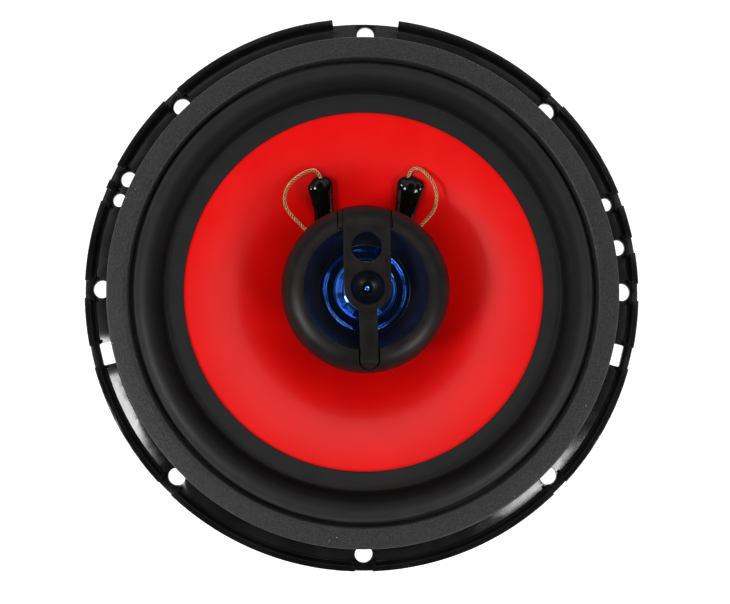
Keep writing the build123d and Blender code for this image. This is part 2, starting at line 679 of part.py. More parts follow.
with BuildPart() as bezel:
    with BuildSketch(Plane.XZ):
        with BuildLine():
            ThreePointArc(bowl_floor, bowl_middle, crease)
            ThreePointArc(crease, on_rim(0, 45), on_rim(0, 0))
            Polyline(on_rim(0, 0), skirt_low, (skirt_inner_r, cup_rim_z), on_rim(rim_wall, 0))
            ThreePointArc(on_rim(rim_wall, 0), on_rim(rim_wall, 40), on_rim(rim_wall, 80))
            back_middle = (bowl_middle[0] + 1.3, bowl_middle[1] - 0.6)
            ThreePointArc(on_rim(rim_wall, 80), back_middle, (well_r + wall, mid_edge_z))
            Polyline((well_r + wall, mid_edge_z), (well_r, mid_edge_z), bowl_floor)
        make_face()
    revolve(axis=Axis.Z)
    with BuildSketch(Plane.XY.offset(4.1)):
        for angle in housing_screw_angles:
            with Locations(at(housing_screw_circle_r, angle + housing_turn)):
                Circle(1.8)
    extrude(amount=10.4)
    with BuildSketch(Plane.XZ):
        with BuildLine():
            ThreePointArc(bowl_floor, bowl_middle, crease)
            Polyline(crease, (crease[0], 20), (bowl_floor[0], 20), bowl_floor)
        make_face()
    revolve(axis=Axis.Z, mode=Mode.SUBTRACT)
    with BuildSketch(Plane.XY.offset(4.1)):
        for angle in housing_screw_angles:
            with Locations(at(housing_screw_circle_r, angle + housing_turn)):
                Circle(1.2)
    extrude(amount=6, mode=Mode.SUBTRACT)
    with BuildSketch(slot_plane.offset(10.0)):
        with Locations((0, crease[0] + 4)):
            Rectangle(2 * slot_half, 10)
    extrude(amount=10, mode=Mode.SUBTRACT)
    with BuildSketch(bridge_plane.offset(bridge_z[0] - slot_gap / 2)):
        with Locations((0, crease[0] - 4)):
            Rectangle(2 * bridge_half + slot_gap, 10)
    extrude(amount=5, mode=Mode.SUBTRACT)
    add(slot_liner.part)
    with BuildSketch(bridge_plane.offset(strap_seat_z)):
        with Locations((0, strap_round_y)):
            Circle(strap_half + strap_gap)
        with Locations((0, strap_round_y + 3.25)):
            Rectangle(2 * (strap_half + strap_gap), 6.5)
    extrude(amount=6, mode=Mode.SUBTRACT)
bezel.part.label = "housing_bezel"
export_step(bezel.part, "parts/housing_bezel.step")

with BuildPart() as housing_screws:
    for level, height, radius in ((cup_floor_z - 1.5, 1.5, 2.0), (cup_floor_z, 7.2, 1.2)):
        with BuildSketch(Plane.XY.offset(level)):
            for angle in housing_screw_angles:
                with Locations(at(housing_screw_circle_r, angle + housing_turn)):
                    Circle(radius)
        extrude(amount=height)
    with BuildSketch(Plane.XY.offset(cup_floor_z - 1.5)):
        for angle in housing_screw_angles:
            with Locations(at(housing_screw_circle_r, angle + housing_turn)):
                Rectangle(2.4, 0.5)
                Rectangle(0.5, 2.4)
    extrude(amount=0.8, mode=Mode.SUBTRACT)
housing_screws.part.label = "housing_screws"
export_step(housing_screws.part, "parts/housing_screws.step")

# ------------------------------------------------------------------ bridge
with BuildPart() as bridge:
    # the end that completes the rim
    with BuildSketch(Plane.XZ):
        with BuildLine():
            ThreePointArc(crease, on_rim(0, 45), on_rim(0, 0))
            Polyline(on_rim(0, 0), (rim_r, 10.1), on_rim(rim_wall, 0), on_rim(rim_wall, 40),
                     on_rim(rim_wall, 80), crease)
        make_face()
    revolve(axis=Axis.Z)
    with BuildSketch(bridge_plane):
        with Locations((0, 22)):
            Rectangle(2 * bridge_half, 10)
    extrude(amount=30, mode=Mode.INTERSECT)
    # flat bar, round boss, and the narrow strap on the far side
    with BuildSketch(bridge_plane.offset(bridge_z[0])):
        with Locations((0, bar_end / 2)):
            Rectangle(2 * bridge_half, bar_end)
        Circle(bridge_half)
    extrude(amount=bridge_z[1] - bridge_z[0])
    with BuildSketch(bridge_plane.offset(10.6)):
        Circle(bridge_half - 0.4)
    extrude(amount=bridge_z[0] - 10.6)
    side_view = Plane(origin=bridge_plane.origin, x_dir=bridge_plane.y_dir, z_dir=bridge_plane.x_dir)
    with BuildSketch(side_view):
        with BuildLine():
            Polyline((-4.5, 14.2), (-4.5, strap_top), (-19.6, strap_top))
            ThreePointArc((-19.6, strap_top), (-22.0, 15.3), (strap_end, 13.8))
            Polyline((strap_end, 13.8), (-19.8, 13.8), (-18.5, 14.2), (-4.5, 14.2))
        make_face()
    extrude(amount=strap_half, both=True)
    with BuildSketch(bridge_plane.offset(strap_seat_z)):
        with Locations((0, strap_round_y - 2)):
            Rectangle(2 * strap_half + 1, 4)
        with Locations((0, strap_round_y)):
            Circle(strap_half, mode=Mode.SUBTRACT)
    extrude(amount=4, mode=Mode.SUBTRACT)
    # sound holes
    with BuildSketch(bridge_plane.offset(11.0)):
        with Locations((0, upper_hole[0])):
            Circle(upper_hole[1])
        Circle(cup_hole_r)
    extrude(amount=10, mode=Mode.SUBTRACT)
bridge.part.label = "bridge"
export_step(bridge.part, "parts/bridge.step")

# ------------------------------------------------------------------ middle driver
mid_base_z = cup_base_z + 1.4
with BuildPart() as mid_yoke:
    with BuildSketch(Plane.XZ):
        with BuildLine():
            Polyline((0, mid_base_z), (12.6, mid_base_z), (12.6, 3.4), (mid_gap_r[1], 3.4),
                     (mid_gap_r[1], mid_base_z + 2.2), (0, mid_base_z + 2.2), close=True)
        make_face()
    revolve(axis=Axis.Z)
mid_yoke.part.label = "mid_yoke"
export_step(mid_yoke.part, "parts/mid_yoke.step")

with BuildPart() as mid_magnet:
    with BuildSketch(Plane.XY.offset(mid_base_z + 2.2)):
        Circle(8.0)
    extrude(amount=4.0)
mid_magnet.part.label = "mid_magnet"
export_step(mid_magnet.part, "parts/mid_magnet.step")

with BuildPart() as mid_plate:
    with BuildSketch(Plane.XY.offset(mid_base_z + 6.2)):
        Circle(mid_gap_r[0])
    extrude(amount=2.0)
mid_plate.part.label = "mid_plate"
export_step(mid_plate.part, "parts/mid_plate.step")

with BuildPart() as mid_coil:
    with BuildSketch(Plane.XY.offset(-0.4)):
        Circle(mid_coil_r[1])
        Circle(mid_coil_r[0], mode=Mode.SUBTRACT)
    extrude(amount=5.8)
mid_coil.part.label = "mid_voice_coil"
export_step(mid_coil.part, "parts/mid_voice_coil.step")

# blue foil diaphragm: clamped edge, half roll, flat, step, and a ridged dome
with BuildPart() as mid_diaphragm:
    with BuildSketch(Plane.XZ):
        with BuildLine():
            for drop in (0.0, 0.3):
                edge = mid_edge_z - drop
                Line((well_r + 1.0, edge), (12.9, edge))
                ThreePointArc((12.9, edge), (12.0, edge + 0.95), (11.1, edge))
                Line((11.1, edge), (9.7, edge - 0.2))
                Line((9.7, edge - 0.2), (8.8, edge + 1.2))
                ThreePointArc((8.8, edge + 1.2), (8.4, edge + 1.5), (8.0, edge + 1.3))
                ThreePointArc((8.0, edge + 1.3), (7.5, edge + 1.8), (7.0, edge + 1.6))
                ThreePointArc((7.0, edge + 1.6), (3.6, edge + 2.9), (0.4, edge + 3.3))
                Line((0.4, edge + 3.3), (0, edge + 3.3))
            Line((well_r + 1.0, 5.6), (well_r + 1.0, 5.9))
            Line((0, 8.9), (0, 9.2))
        make_face()
    revolve(axis=Axis.Z)
mid_diaphragm.part.label = "mid_diaphragm"
export_step(mid_diaphragm.part, "parts/mid_diaphragm.step")

with BuildPart() as capacitor:
    with BuildSketch(Plane.XZ.offset(-5.5)):
        with Locations((18.6, 6.8)):
            Circle(2.5)
    extrude(amount=11)
    fillet(capacitor.edges(), 0.4)
capacitor.part.label = "crossover_capacitor"
export_step(capacitor.part, "parts/crossover_capacitor.step")

# ------------------------------------------------------------------ super tweeter in the bridge's boss
with BuildPart() as super_horn:
    with BuildSketch(Plane.XZ.offset(0)):
        with BuildLine():
            Polyline((cup_hole_r, 16.6), (cup_hole_r - 0.35, 16.6))
            ThreePointArc((cup_hole_r - 0.35, 16.6), (3.5, 14.0), (1.8, 12.7))
            Polyline((1.8, 12.7), (1.8, 12.0), (cup_hole_r, 12.0), (cup_hole_r, 16.6))
        make_face()
    revolve(axis=Axis.Z)
super_horn.part = super_horn.part.moved(Location((bridge_shift, 0, 0)))
super_horn.part.label = "super_tweeter_horn"
export_step(super_horn.part, "parts/super_tweeter_horn.step")

with BuildPart() as super_element:
    with BuildSketch(Plane.XY.offset(11.0)):
        with Locations((bridge_shift, 0)):
            Circle(4.6)
    extrude(amount=0.4)
super_element.part.label = "super_tweeter_element"
export_step(super_element.part, "parts/super_tweeter_element.step")

with BuildPart() as super_dome:
    with BuildSketch(Plane.XY.offset(11.75)):
        with Locations((bridge_shift, 0)):
            Circle(1.35)
    extrude(amount=1.6)
    fillet(super_dome.edges().group_by(Axis.Z)[-1], 1.2)
super_dome.part.label = "super_tweeter_dome"
export_step(super_dome.part, "parts/super_tweeter_dome.step")
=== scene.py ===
"""Looks of a coaxial car speaker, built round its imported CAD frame.

Lengths here are in millimetres, and MM turns them into Blender's metres.  The speaker's axis is Z,
its cone faces +Z and its terminals are on the +Y side.  Angles are in degrees from +X towards +Y.
"""
import json
from math import cos, hypot, pi, radians, sin, sqrt, tan

import bmesh
import bpy
from mathutils import Matrix, Vector

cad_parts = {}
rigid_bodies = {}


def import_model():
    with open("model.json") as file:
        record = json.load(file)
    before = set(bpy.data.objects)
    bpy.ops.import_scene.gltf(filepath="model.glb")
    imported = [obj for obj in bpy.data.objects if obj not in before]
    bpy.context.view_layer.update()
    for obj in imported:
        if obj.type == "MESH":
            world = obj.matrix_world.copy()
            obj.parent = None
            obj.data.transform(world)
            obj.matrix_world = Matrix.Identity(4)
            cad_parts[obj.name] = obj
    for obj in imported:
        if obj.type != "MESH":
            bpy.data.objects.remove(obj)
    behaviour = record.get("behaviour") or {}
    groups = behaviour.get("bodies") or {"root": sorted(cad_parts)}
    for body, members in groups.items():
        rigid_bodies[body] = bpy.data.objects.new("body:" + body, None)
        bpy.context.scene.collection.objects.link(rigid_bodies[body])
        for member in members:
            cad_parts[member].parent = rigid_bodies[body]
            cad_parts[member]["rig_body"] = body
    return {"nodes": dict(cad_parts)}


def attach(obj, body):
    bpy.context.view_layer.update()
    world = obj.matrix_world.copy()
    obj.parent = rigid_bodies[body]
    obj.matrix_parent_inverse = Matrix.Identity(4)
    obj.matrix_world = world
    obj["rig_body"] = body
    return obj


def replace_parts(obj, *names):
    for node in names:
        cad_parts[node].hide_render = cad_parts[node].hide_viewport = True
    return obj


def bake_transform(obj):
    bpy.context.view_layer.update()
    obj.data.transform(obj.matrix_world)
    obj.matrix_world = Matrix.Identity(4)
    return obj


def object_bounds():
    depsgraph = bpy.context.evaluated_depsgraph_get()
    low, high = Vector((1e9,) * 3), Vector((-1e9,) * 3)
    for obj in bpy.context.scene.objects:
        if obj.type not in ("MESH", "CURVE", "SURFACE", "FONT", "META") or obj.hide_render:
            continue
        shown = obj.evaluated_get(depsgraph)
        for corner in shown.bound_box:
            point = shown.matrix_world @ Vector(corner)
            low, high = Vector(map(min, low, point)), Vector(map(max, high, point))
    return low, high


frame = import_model()
bpy.context.view_layer.update()
cad_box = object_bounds()
nodes = frame["nodes"]

MM = 0.001
SEGMENTS = 288           # round the axis, in every turned piece


def ring(node):
    """Inner radius, outer radius, lowest and highest point of a CAD node that is round the axis."""
    places = [vertex.co / MM for vertex in nodes[node].data.vertices]
    radii = [hypot(place.x, place.y) for place in places]
    heights = [place.z for place in places]
    return min(radii), max(radii), min(heights), max(heights)


def at(radius, angle, height=0.0):
    """A point round the axis."""
    return Vector((radius * cos(radians(angle)), radius * sin(radians(angle)), height))


# ------------------------------------------------------------------ camera
VIEW_DISTANCE = 272.0                # from the middle of the flange's front
VIEW_TILT = radians(4.2)             # off the axis
VIEW_SIDE = Vector((-0.484, -0.875, 0)).normalized()     # the side that it is tilted to
VIEW_AIM = Vector((0.12, -3.37, 2.4))                    # the point that it looks at
VIEW_ROLL = radians(0.2)
LENS = 45.1                          # on a 36 mm sensor
FLANGE_FRONT = Vector((0, 0, 2.4))
WORLD_UP = Vector((0, 0, 1))


def make_camera():
    """A camera that looks almost straight down the axis, from close by."""
    place = FLANGE_FRONT + VIEW_DISTANCE * (sin(VIEW_TILT) * VIEW_SIDE + cos(VIEW_TILT) * WORLD_UP)
    forward = (VIEW_AIM - place).normalized()
    right = forward.cross(Vector((-sin(VIEW_ROLL), cos(VIEW_ROLL), 0))).normalized()
    turn = Matrix((right, right.cross(forward), -forward)).transposed().to_4x4()
    camera = bpy.data.objects.new("camera", bpy.data.cameras.new("camera"))
    camera.matrix_world = Matrix.Translation(place * MM) @ turn
    camera.data.lens = LENS
    camera.data.clip_start = 10 * MM
    bpy.context.scene.collection.objects.link(camera)
    bpy.context.scene.camera = camera


make_camera()


# ------------------------------------------------------------------ materials
class Finish:
    """One procedural material: a Principled shader and the nodes that vary it over the surface.

    Sizes are in millimetres, and a pattern is fixed to the piece by its own coordinates.
    """

    def __init__(self, name, **values):
        self.material = bpy.data.materials.new(name)
        self.material.use_nodes = True
        self.tree = self.material.node_tree
        self.shader = self.tree.nodes["Principled BSDF"]
        self.place = self.node("ShaderNodeTexCoord").outputs["Object"]
        self.normal = None
        for socket, value in values.items():
            self.set(socket, value)

    def set(self, socket, value):
        """Gives a socket of the shader a value, or links it to a node."""
        self.feed(self.shader.inputs[socket.replace("_", " ")], value)

    def feed(self, socket, value):
        """Gives any socket a number or a colour, or links it to another node's socket."""
        if isinstance(value, bpy.types.NodeSocket):
            self.tree.links.new(value, socket)
        elif socket.type == "RGBA":
            socket.default_value = (*value, 1)
        else:
            socket.default_value = value

    def node(self, kind, **inputs):
        """A new node with its inputs fed."""
        made = self.tree.nodes.new(kind)
        for socket, value in inputs.items():
            self.feed(made.inputs[socket.replace("_", " ")], value)
        return made

    def math(self, operation, first, second=0.0):
        """The result of one sum on two values."""
        made = self.tree.nodes.new("ShaderNodeMath")
        made.operation = operation
        self.feed(made.inputs[0], first)
        self.feed(made.inputs[1], second)
        return made.outputs[0]

    def stretched(self, factors):
        """The place, with each of its coordinates multiplied by a factor."""
        made = self.node("ShaderNodeVectorMath")
        made.operation = "MULTIPLY"
        self.feed(made.inputs[0], self.place)
        made.inputs[1].default_value = factors
        return made.outputs[0]

    def radius(self):
        """Distance from the axis, in metres."""
        length = self.node("ShaderNodeVectorMath")
        length.operation = "LENGTH"
        self.feed(length.inputs[0], self.stretched((1, 1, 0)))
        return length.outputs["Value"]

    def axis(self, name):
        """One coordinate of the place, in metres."""
        return self.node("ShaderNodeSeparateXYZ", Vector=self.place).outputs[name]

    def waves(self, value, period):
        """Even waves from -1 to 1 along a value in metres."""
        return self.math("SINE", self.math("MULTIPLY", value, 2 * pi / (period * MM)))

    def noise(self, size, detail=2.0, stretch=None):
        """Soft random patches from 0 to 1."""
        place = self.stretched(stretch) if stretch else self.place
        made = self.node("ShaderNodeTexNoise", Vector=place, Scale=1 / (size * MM), Detail=detail)
        return made.outputs["Fac"]

    def turned(self, size):
        """Fine random rings round the axis, as a lathe leaves them."""
        made = self.node("ShaderNodeTexNoise", Scale=1 / (size * MM), Detail=3.0)
        place = self.node("ShaderNodeCombineXYZ", X=self.radius(), Z=self.axis("Z"))
        self.feed(made.inputs["Vector"], place.outputs[0])
        return made.outputs["Fac"]

    def cells(self, size):
        """Distance from the middle of the nearest of many random cells."""
        made = self.node("ShaderNodeTexVoronoi", Vector=self.place, Scale=1 / (size * MM))
        return made.outputs["Distance"]

    def level(self, value, low, high, to_low=0.0, to_high=1.0):
        """Spreads low to high over to_low to to_high, and holds the ends."""
        made = self.node("ShaderNodeMapRange", Value=value)
        for socket, number in zip(made.inputs[1:5], (low, high, to_low, to_high)):
            socket.default_value = number
        return made.outputs[0]

    def mix(self, share, low, high):
        """A colour from low to high by share."""
        made = self.tree.nodes.new("ShaderNodeMix")
        made.data_type = "RGBA"
        factor, first, second = made.inputs[0], made.inputs[6], made.inputs[7]     # its colour sockets
        self.feed(factor, share)
        self.feed(first, low)
        self.feed(second, high)
        return made.outputs[2]

    def bump(self, height, depth):
        """Raises the surface by up to depth where height is 1."""
        made = self.node("ShaderNodeBump", Height=height, Distance=depth * MM)
        if self.normal:
            self.feed(made.inputs["Normal"], self.normal)
        self.normal = made.outputs["Normal"]
        self.set("Normal", self.normal)

    def specks(self, spacing, size):
        """1 on rare small specks, such as dust, and 0 elsewhere."""
        spot = self.level(self.cells(spacing), size / spacing, 0.6 * size / spacing)
        lucky = self.level(self.noise(3.1 * spacing, 1.0), 0.62, 0.66)
        return self.math("MULTIPLY", spot, lucky)


def gloss_enamel():
    """Stove enamel on the stamped basket: glossy black, a little orange peel, dust in the corners."""
    finish = Finish("gloss_enamel", Specular_IOR_Level=0.5)
    haze = finish.level(finish.noise(9), 0.35, 0.7)
    black = finish.mix(haze, (0.0045, 0.0045, 0.005), (0.009, 0.009, 0.01))
    finish.set("Base_Color", finish.mix(finish.specks(1.6, 0.12), black, (0.25, 0.25, 0.24)))
    finish.set("Roughness", finish.level(finish.noise(5, 4), 0.3, 0.75, 0.13, 0.24))
    finish.bump(finish.noise(2.2), 0.012)
    return finish.material


def pocket_enamel_painted_reflection():
    """The flat pockets round the holes: satin enamel, its colour lightened to grey as a painted reflection.
    """
    finish = Finish("pocket_enamel_painted_reflection", Specular_IOR_Level=0.4)
    # painted reflection: the grey colour stands in for the pale light that the flats reflect
    grey = finish.mix(finish.noise(2.0, 3), (0.008, 0.008, 0.01), (0.018, 0.018, 0.022))
    finish.set("Base_Color", grey)
    finish.set("Roughness", finish.level(finish.noise(1.2), 0.3, 0.7, 0.42, 0.6))
    finish.bump(finish.noise(0.5), 0.01)
    return finish.material


def grained_rubber():
    """The gasket: charcoal rubber with a fine sparkling grain, and pale specks painted in as glints."""
    finish = Finish("grained_rubber", Specular_IOR_Level=0.5)
    grain = finish.noise(0.33, 3)
    tone = finish.mix(finish.level(grain, 0.4, 0.68), (0.015, 0.0145, 0.0145), (0.05, 0.048, 0.048))
    # pale specks: painted glints of the grain's sparkle
    finish.set("Base_Color", finish.mix(finish.specks(1.9, 0.16), tone, (0.4, 0.4, 0.38)))
    finish.set("Roughness", finish.level(finish.noise(0.45), 0.3, 0.7, 0.36, 0.5))
    finish.bump(finish.noise(6), 0.08)
    finish.bump(grain, 0.11)
    return finish.material


def satin_rubber():
    """The surround: satin black rubber, greyer on its glued band, with painted light from the roll's top
    out to its outer foot.
    """
    finish = Finish("satin_rubber", Specular_IOR_Level=0.3)
    flat = finish.level(finish.radius(), 58.6 * MM, 59.4 * MM, 0.013, 0.001)
    # painted light: lighter over the roll's outer half, where its highlight lies, and most at its outer
    # foot, in the gasket's shade
    painted_roll_light = finish.math("ADD", finish.level(finish.radius(), 61.5 * MM, 66.0 * MM, 0.0, 0.024),
                        finish.level(finish.radius(), 66.0 * MM, 68.4 * MM, 0.0, 0.045))
    tone = finish.math("MULTIPLY", finish.math("ADD", flat, painted_roll_light),
                       finish.level(finish.noise(7, 3), 0.3, 0.7, 0.85, 1.1))
    grey = finish.node("ShaderNodeCombineColor", Red=tone, Green=tone, Blue=tone)
    finish.set("Base_Color", grey.outputs[0])
    dull = finish.level(finish.radius(), 59.5 * MM, 63.5 * MM, 0.2, 0.0)
    satin = finish.level(finish.noise(0.8, 3), 0.3, 0.7, 0.44, 0.56)
    finish.set("Roughness", finish.math("ADD", dull, satin))
    finish.bump(finish.waves(finish.radius(), 1.9), 0.004)
    finish.bump(finish.noise(0.28), 0.018)
    return finish.material


def red_polymer():
    """The cone's face: gloss red, with slight clouding and a soft orange peel."""
    finish = Finish("red_polymer", Specular_IOR_Level=0.5, Coat_Weight=0.15, Coat_Roughness=0.14)
    cloud = finish.level(finish.noise(26, 2), 0.3, 0.7)
    red = finish.mix(cloud, (0.8, 0.0022, 0.0016), (0.88, 0.003, 0.002))
    finish.set("Base_Color", finish.mix(finish.specks(9.0, 0.14), red, (0.9, 0.3, 0.25)))
    finish.set("Roughness", finish.level(finish.noise(9, 2), 0.3, 0.7, 0.29, 0.35))
    finish.bump(finish.noise(4.5), 0.01)
    return finish.material


def pulp():
    """The back of the cone: dark pressed paper pulp with short fibres."""
    finish = Finish("pulp", Roughness=0.85)
    fibre = finish.noise(0.6, 5, stretch=(1, 3.2, 1))
    finish.set("Base_Color", finish.mix(fibre, (0.012, 0.011, 0.011), (0.05, 0.046, 0.045)))
    finish.bump(fibre, 0.12)
    finish.bump(finish.noise(2.5, 3), 0.15)
    return finish.material


def spark_plastic(name="spark_plastic", dark=0.005, light=0.011):
    """Satin black plastic, slightly warm, from a spark-eroded mould."""
    finish = Finish(name, Specular_IOR_Level=0.35)
    grain = finish.noise(0.24, 2)
    tone = finish.level(finish.noise(4, 3), 0.3, 0.7)
    finish.set("Base_Color", finish.mix(tone, (dark, 0.8 * dark, 0.73 * dark),
                                        (light, 0.8 * light, 0.74 * light)))
    finish.set("Roughness", finish.level(finish.noise(0.5), 0.3, 0.7, 0.34, 0.47))
    finish.bump(grain, 0.035)
    finish.bump(finish.noise(7), 0.05)
    return finish.material


def bright_zinc():
    """Zinc plate on steel, with the fine rings of turning and dull clouds."""
    finish = Finish("bright_zinc", Metallic=1.0)
    cloud = finish.level(finish.noise(5, 4), 0.35, 0.7)
    finish.set("Base_Color", finish.mix(cloud, (0.62, 0.61, 0.6), (0.42, 0.42, 0.43)))
    finish.set("Roughness", finish.level(finish.noise(2.4, 4), 0.3, 0.75, 0.22, 0.42))
    finish.bump(finish.turned(0.35), 0.012)
    return finish.material


def black_zinc():
    """Black passivated zinc on the motor's plates, with turning rings and rubbed spots."""
    finish = Finish("black_zinc", Specular_IOR_Level=0.6)
    rubbed = finish.level(finish.noise(3.5, 6), 0.6, 0.75)
    finish.set("Base_Color", finish.mix(rubbed, (0.012, 0.012, 0.013), (0.04, 0.04, 0.042)))
    finish.set("Metallic", finish.level(rubbed, 0.0, 1.0, 0.2, 0.55))
    finish.set("Roughness", finish.level(finish.noise(1.8, 4), 0.3, 0.7, 0.28, 0.45))
    finish.bump(finish.turned(0.45), 0.02)
    return finish.material


def ferrite():
    """Sintered ferrite: dull dark grey, with pits and small pale chips."""
    finish = Finish("ferrite", Roughness=0.68)
    tone = finish.mix(finish.noise(1.4, 6), (0.02, 0.02, 0.022), (0.058, 0.057, 0.058))
    finish.set("Base_Color", finish.mix(finish.specks(2.4, 0.5), tone, (0.16, 0.155, 0.15)))
    finish.bump(finish.noise(0.5, 4), 0.06)
    finish.bump(finish.level(finish.cells(1.7), 0.05, 0.22), 0.05)
    return finish.material


def woven_cloth():
    """The spider: resin-stiffened woven cloth, straw yellow."""
    finish = Finish("woven_cloth", Roughness=0.8, Sheen_Weight=0.25)
    warp = finish.waves(finish.axis("X"), 0.62)
    weft = finish.waves(finish.axis("Y"), 0.62)
    weave = finish.math("MAXIMUM", finish.math("ABSOLUTE", warp), finish.math("ABSOLUTE", weft))
    resin = finish.mix(finish.noise(6, 4), (0.42, 0.25, 0.07), (0.6, 0.4, 0.15))
    finish.set("Base_Color", finish.mix(finish.level(weave, 0.45, 0.8), (0.2, 0.11, 0.03), resin))
    finish.bump(weave, 0.09)
    return finish.material


def former_foil():
    """The voice coil's former: amber film."""
    finish = Finish("former_foil", Metallic=0.35, Coat_Weight=0.5)
    amber = finish.mix(finish.noise(3, 3), (0.42, 0.2, 0.05), (0.55, 0.3, 0.09))
    finish.set("Base_Color", amber)
    finish.set("Roughness", finish.level(finish.noise(1.1), 0.3, 0.7, 0.2, 0.34))
    finish.bump(finish.noise(4), 0.03)
    return finish.material


def copper_wire():
    """Enamelled copper wire, wound side by side along the axis."""
    finish = Finish("copper_wire", Metallic=0.9, Roughness=0.3, Coat_Weight=0.6)
    turns = finish.waves(finish.axis("Z"), 0.32)
    copper = finish.mix(finish.noise(1.6, 3), (0.5, 0.17, 0.07), (0.66, 0.27, 0.12))
    finish.set("Base_Color", finish.mix(finish.level(turns, -1.0, -0.4), (0.06, 0.015, 0.005), copper))
    finish.bump(turns, 0.06)
    return finish.material


def laminate():
    """Brown phenolic paper laminate of the terminal board."""
    finish = Finish("laminate", Coat_Weight=0.15)
    fibre = finish.noise(0.9, 6, stretch=(1, 4, 1))
    finish.set("Base_Color", finish.mix(fibre, (0.16, 0.07, 0.025), (0.3, 0.15, 0.06)))
    finish.set("Roughness", finish.level(finish.noise(2, 3), 0.3, 0.7, 0.38, 0.55))
    finish.bump(fibre, 0.02)
    return finish.material


def tinned_brass():
    """The blade terminals: tinned brass with yellow edges where the tin is thin."""
    finish = Finish("tinned_brass", Metallic=1.0)
    worn = finish.level(finish.noise(1.5, 5), 0.52, 0.7)
    finish.set("Base_Color", finish.mix(worn, (0.66, 0.65, 0.62), (0.7, 0.55, 0.27)))
    finish.set("Roughness", finish.level(finish.noise(0.9, 3), 0.3, 0.7, 0.2, 0.36))
    finish.bump(finish.noise(0.7, 3, stretch=(1, 0.15, 1)), 0.01)
    return finish.material


def solder():
    """Solder: bright where it wetted, dull and rippled where it froze."""
    finish = Finish("solder", Metallic=1.0)
    frozen = finish.level(finish.noise(0.7, 4), 0.4, 0.65)
    finish.set("Base_Color", finish.mix(frozen, (0.72, 0.72, 0.73), (0.5, 0.5, 0.52)))
    finish.set("Roughness", finish.level(frozen, 0.0, 1.0, 0.12, 0.38))
    finish.bump(finish.noise(0.5, 2), 0.04)
    return finish.material


def rubber_cement():
    """Set black glue, glossy as if still wet."""
    finish = Finish("rubber_cement", Specular_IOR_Level=0.4)
    black = finish.mix(finish.noise(1.5), (0.0015, 0.0015, 0.0015), (0.004, 0.004, 0.004))
    finish.set("Base_Color", black)
    finish.set("Roughness", finish.level(finish.noise(1.0), 0.3, 0.7, 0.05, 0.1))
    finish.bump(finish.noise(1.6, 1), 0.03)
    return finish.material


def tinsel_gold():
    """One strand of tinsel wire: thin gold-coloured foil wound on thread."""
    finish = Finish("tinsel_gold", Metallic=0.45)
    tarnish = finish.level(finish.noise(0.9, 4), 0.35, 0.7)
    finish.set("Base_Color", finish.mix(tarnish, (0.95, 0.62, 0.27), (0.7, 0.42, 0.16)))
    finish.set("Roughness", finish.level(finish.noise(0.35, 2), 0.3, 0.7, 0.3, 0.5))
    finish.bump(finish.noise(0.16, 2), 0.03)
    return finish.material


def dark_thread():
    """The thread that shows between the strands of tinsel."""
    finish = Finish("dark_thread")
    brown = finish.mix(finish.noise(0.3, 3), (0.012, 0.005, 0.002), (0.04, 0.016, 0.006))
    finish.set("Base_Color", brown)
    finish.set("Roughness", finish.level(finish.noise(0.5), 0.3, 0.7, 0.75, 0.9))
    finish.bump(finish.noise(0.12), 0.03)
    return finish.material


def blue_foil():
    """Metallised blue polyester: mirror-like, with the small waves of drawing."""
    finish = Finish("blue_foil", Metallic=1.0)
    deep = finish.level(finish.noise(2.5, 3), 0.3, 0.7)
    finish.set("Base_Color", finish.mix(deep, (0.09, 0.3, 0.9), (0.13, 0.38, 1.0)))
    finish.set("Roughness", finish.level(finish.noise(1.4, 3), 0.3, 0.7, 0.05, 0.09))
    finish.bump(finish.noise(1.4, 2), 0.0015)
    return finish.material


def blue_sleeve():
    """The capacitor's shrunk sleeve, with a pale stripe along the negative side."""
    finish = Finish("blue_sleeve", Coat_Weight=0.3)
    stripe = finish.level(finish.axis("Z"), 8.3 * MM, 8.35 * MM)
    sleeve = finish.mix(finish.noise(2, 3), (0.008, 0.012, 0.06), (0.014, 0.02, 0.1))
    finish.set("Base_Color", finish.mix(stripe, sleeve, (0.5, 0.52, 0.55)))
    finish.set("Roughness", finish.level(finish.noise(1), 0.3, 0.7, 0.25, 0.4))
    finish.bump(finish.noise(1.2), 0.02)
    return finish.material


def piezo_brass():
    """The super tweeter's brass disc."""
    finish = Finish("piezo_brass", Metallic=1.0)
    tarnish = finish.level(finish.noise(1.2, 5), 0.4, 0.7)
    finish.set("Base_Color", finish.mix(tarnish, (0.25, 0.17, 0.07), (0.12, 0.08, 0.035)))
    finish.set("Roughness", finish.level(finish.noise(0.8, 3), 0.3, 0.7, 0.24, 0.4))
    finish.bump(finish.noise(0.4, 3), 0.01)
    return finish.material


ENAMEL, POCKET, GASKET, SURROUND = gloss_enamel(), pocket_enamel_painted_reflection(), grained_rubber(), satin_rubber()
RED, PULP, HOUSING, FOIL = red_polymer(), pulp(), spark_plastic(), blue_foil()
# a darker copy of the housing's plastic for the super tweeter's horn: painted shade in its deep recess
HORN_PAINTED_SHADE = spark_plastic("horn_plastic_painted_shade", 0.0012, 0.003)
ZINC, BLACK_ZINC, FERRITE, CLOTH = bright_zinc(), black_zinc(), ferrite(), woven_cloth()
FORMER, COPPER, LAMINATE, TINNED = former_foil(), copper_wire(), laminate(), tinned_brass()
SOLDER, CEMENT, TINSEL, SLEEVE = solder(), rubber_cement(), tinsel_gold(), blue_sleeve()
BRASS, THREAD = piezo_brass(), dark_thread()


# ------------------------------------------------------------------ making meshes
def shade(mesh, sharp_angle=32):
    """Smooth shading, with edges sharper than the angle left crisp."""
    skin = bmesh.new()
    skin.from_mesh(mesh)
    bmesh.ops.recalc_face_normals(skin, faces=skin.faces)
    for face in skin.faces:
        face.smooth = True
    for edge in skin.edges:
        edge.smooth = edge.is_manifold and edge.calc_face_angle() < radians(sharp_angle)
    skin.to_mesh(mesh)
    skin.free()


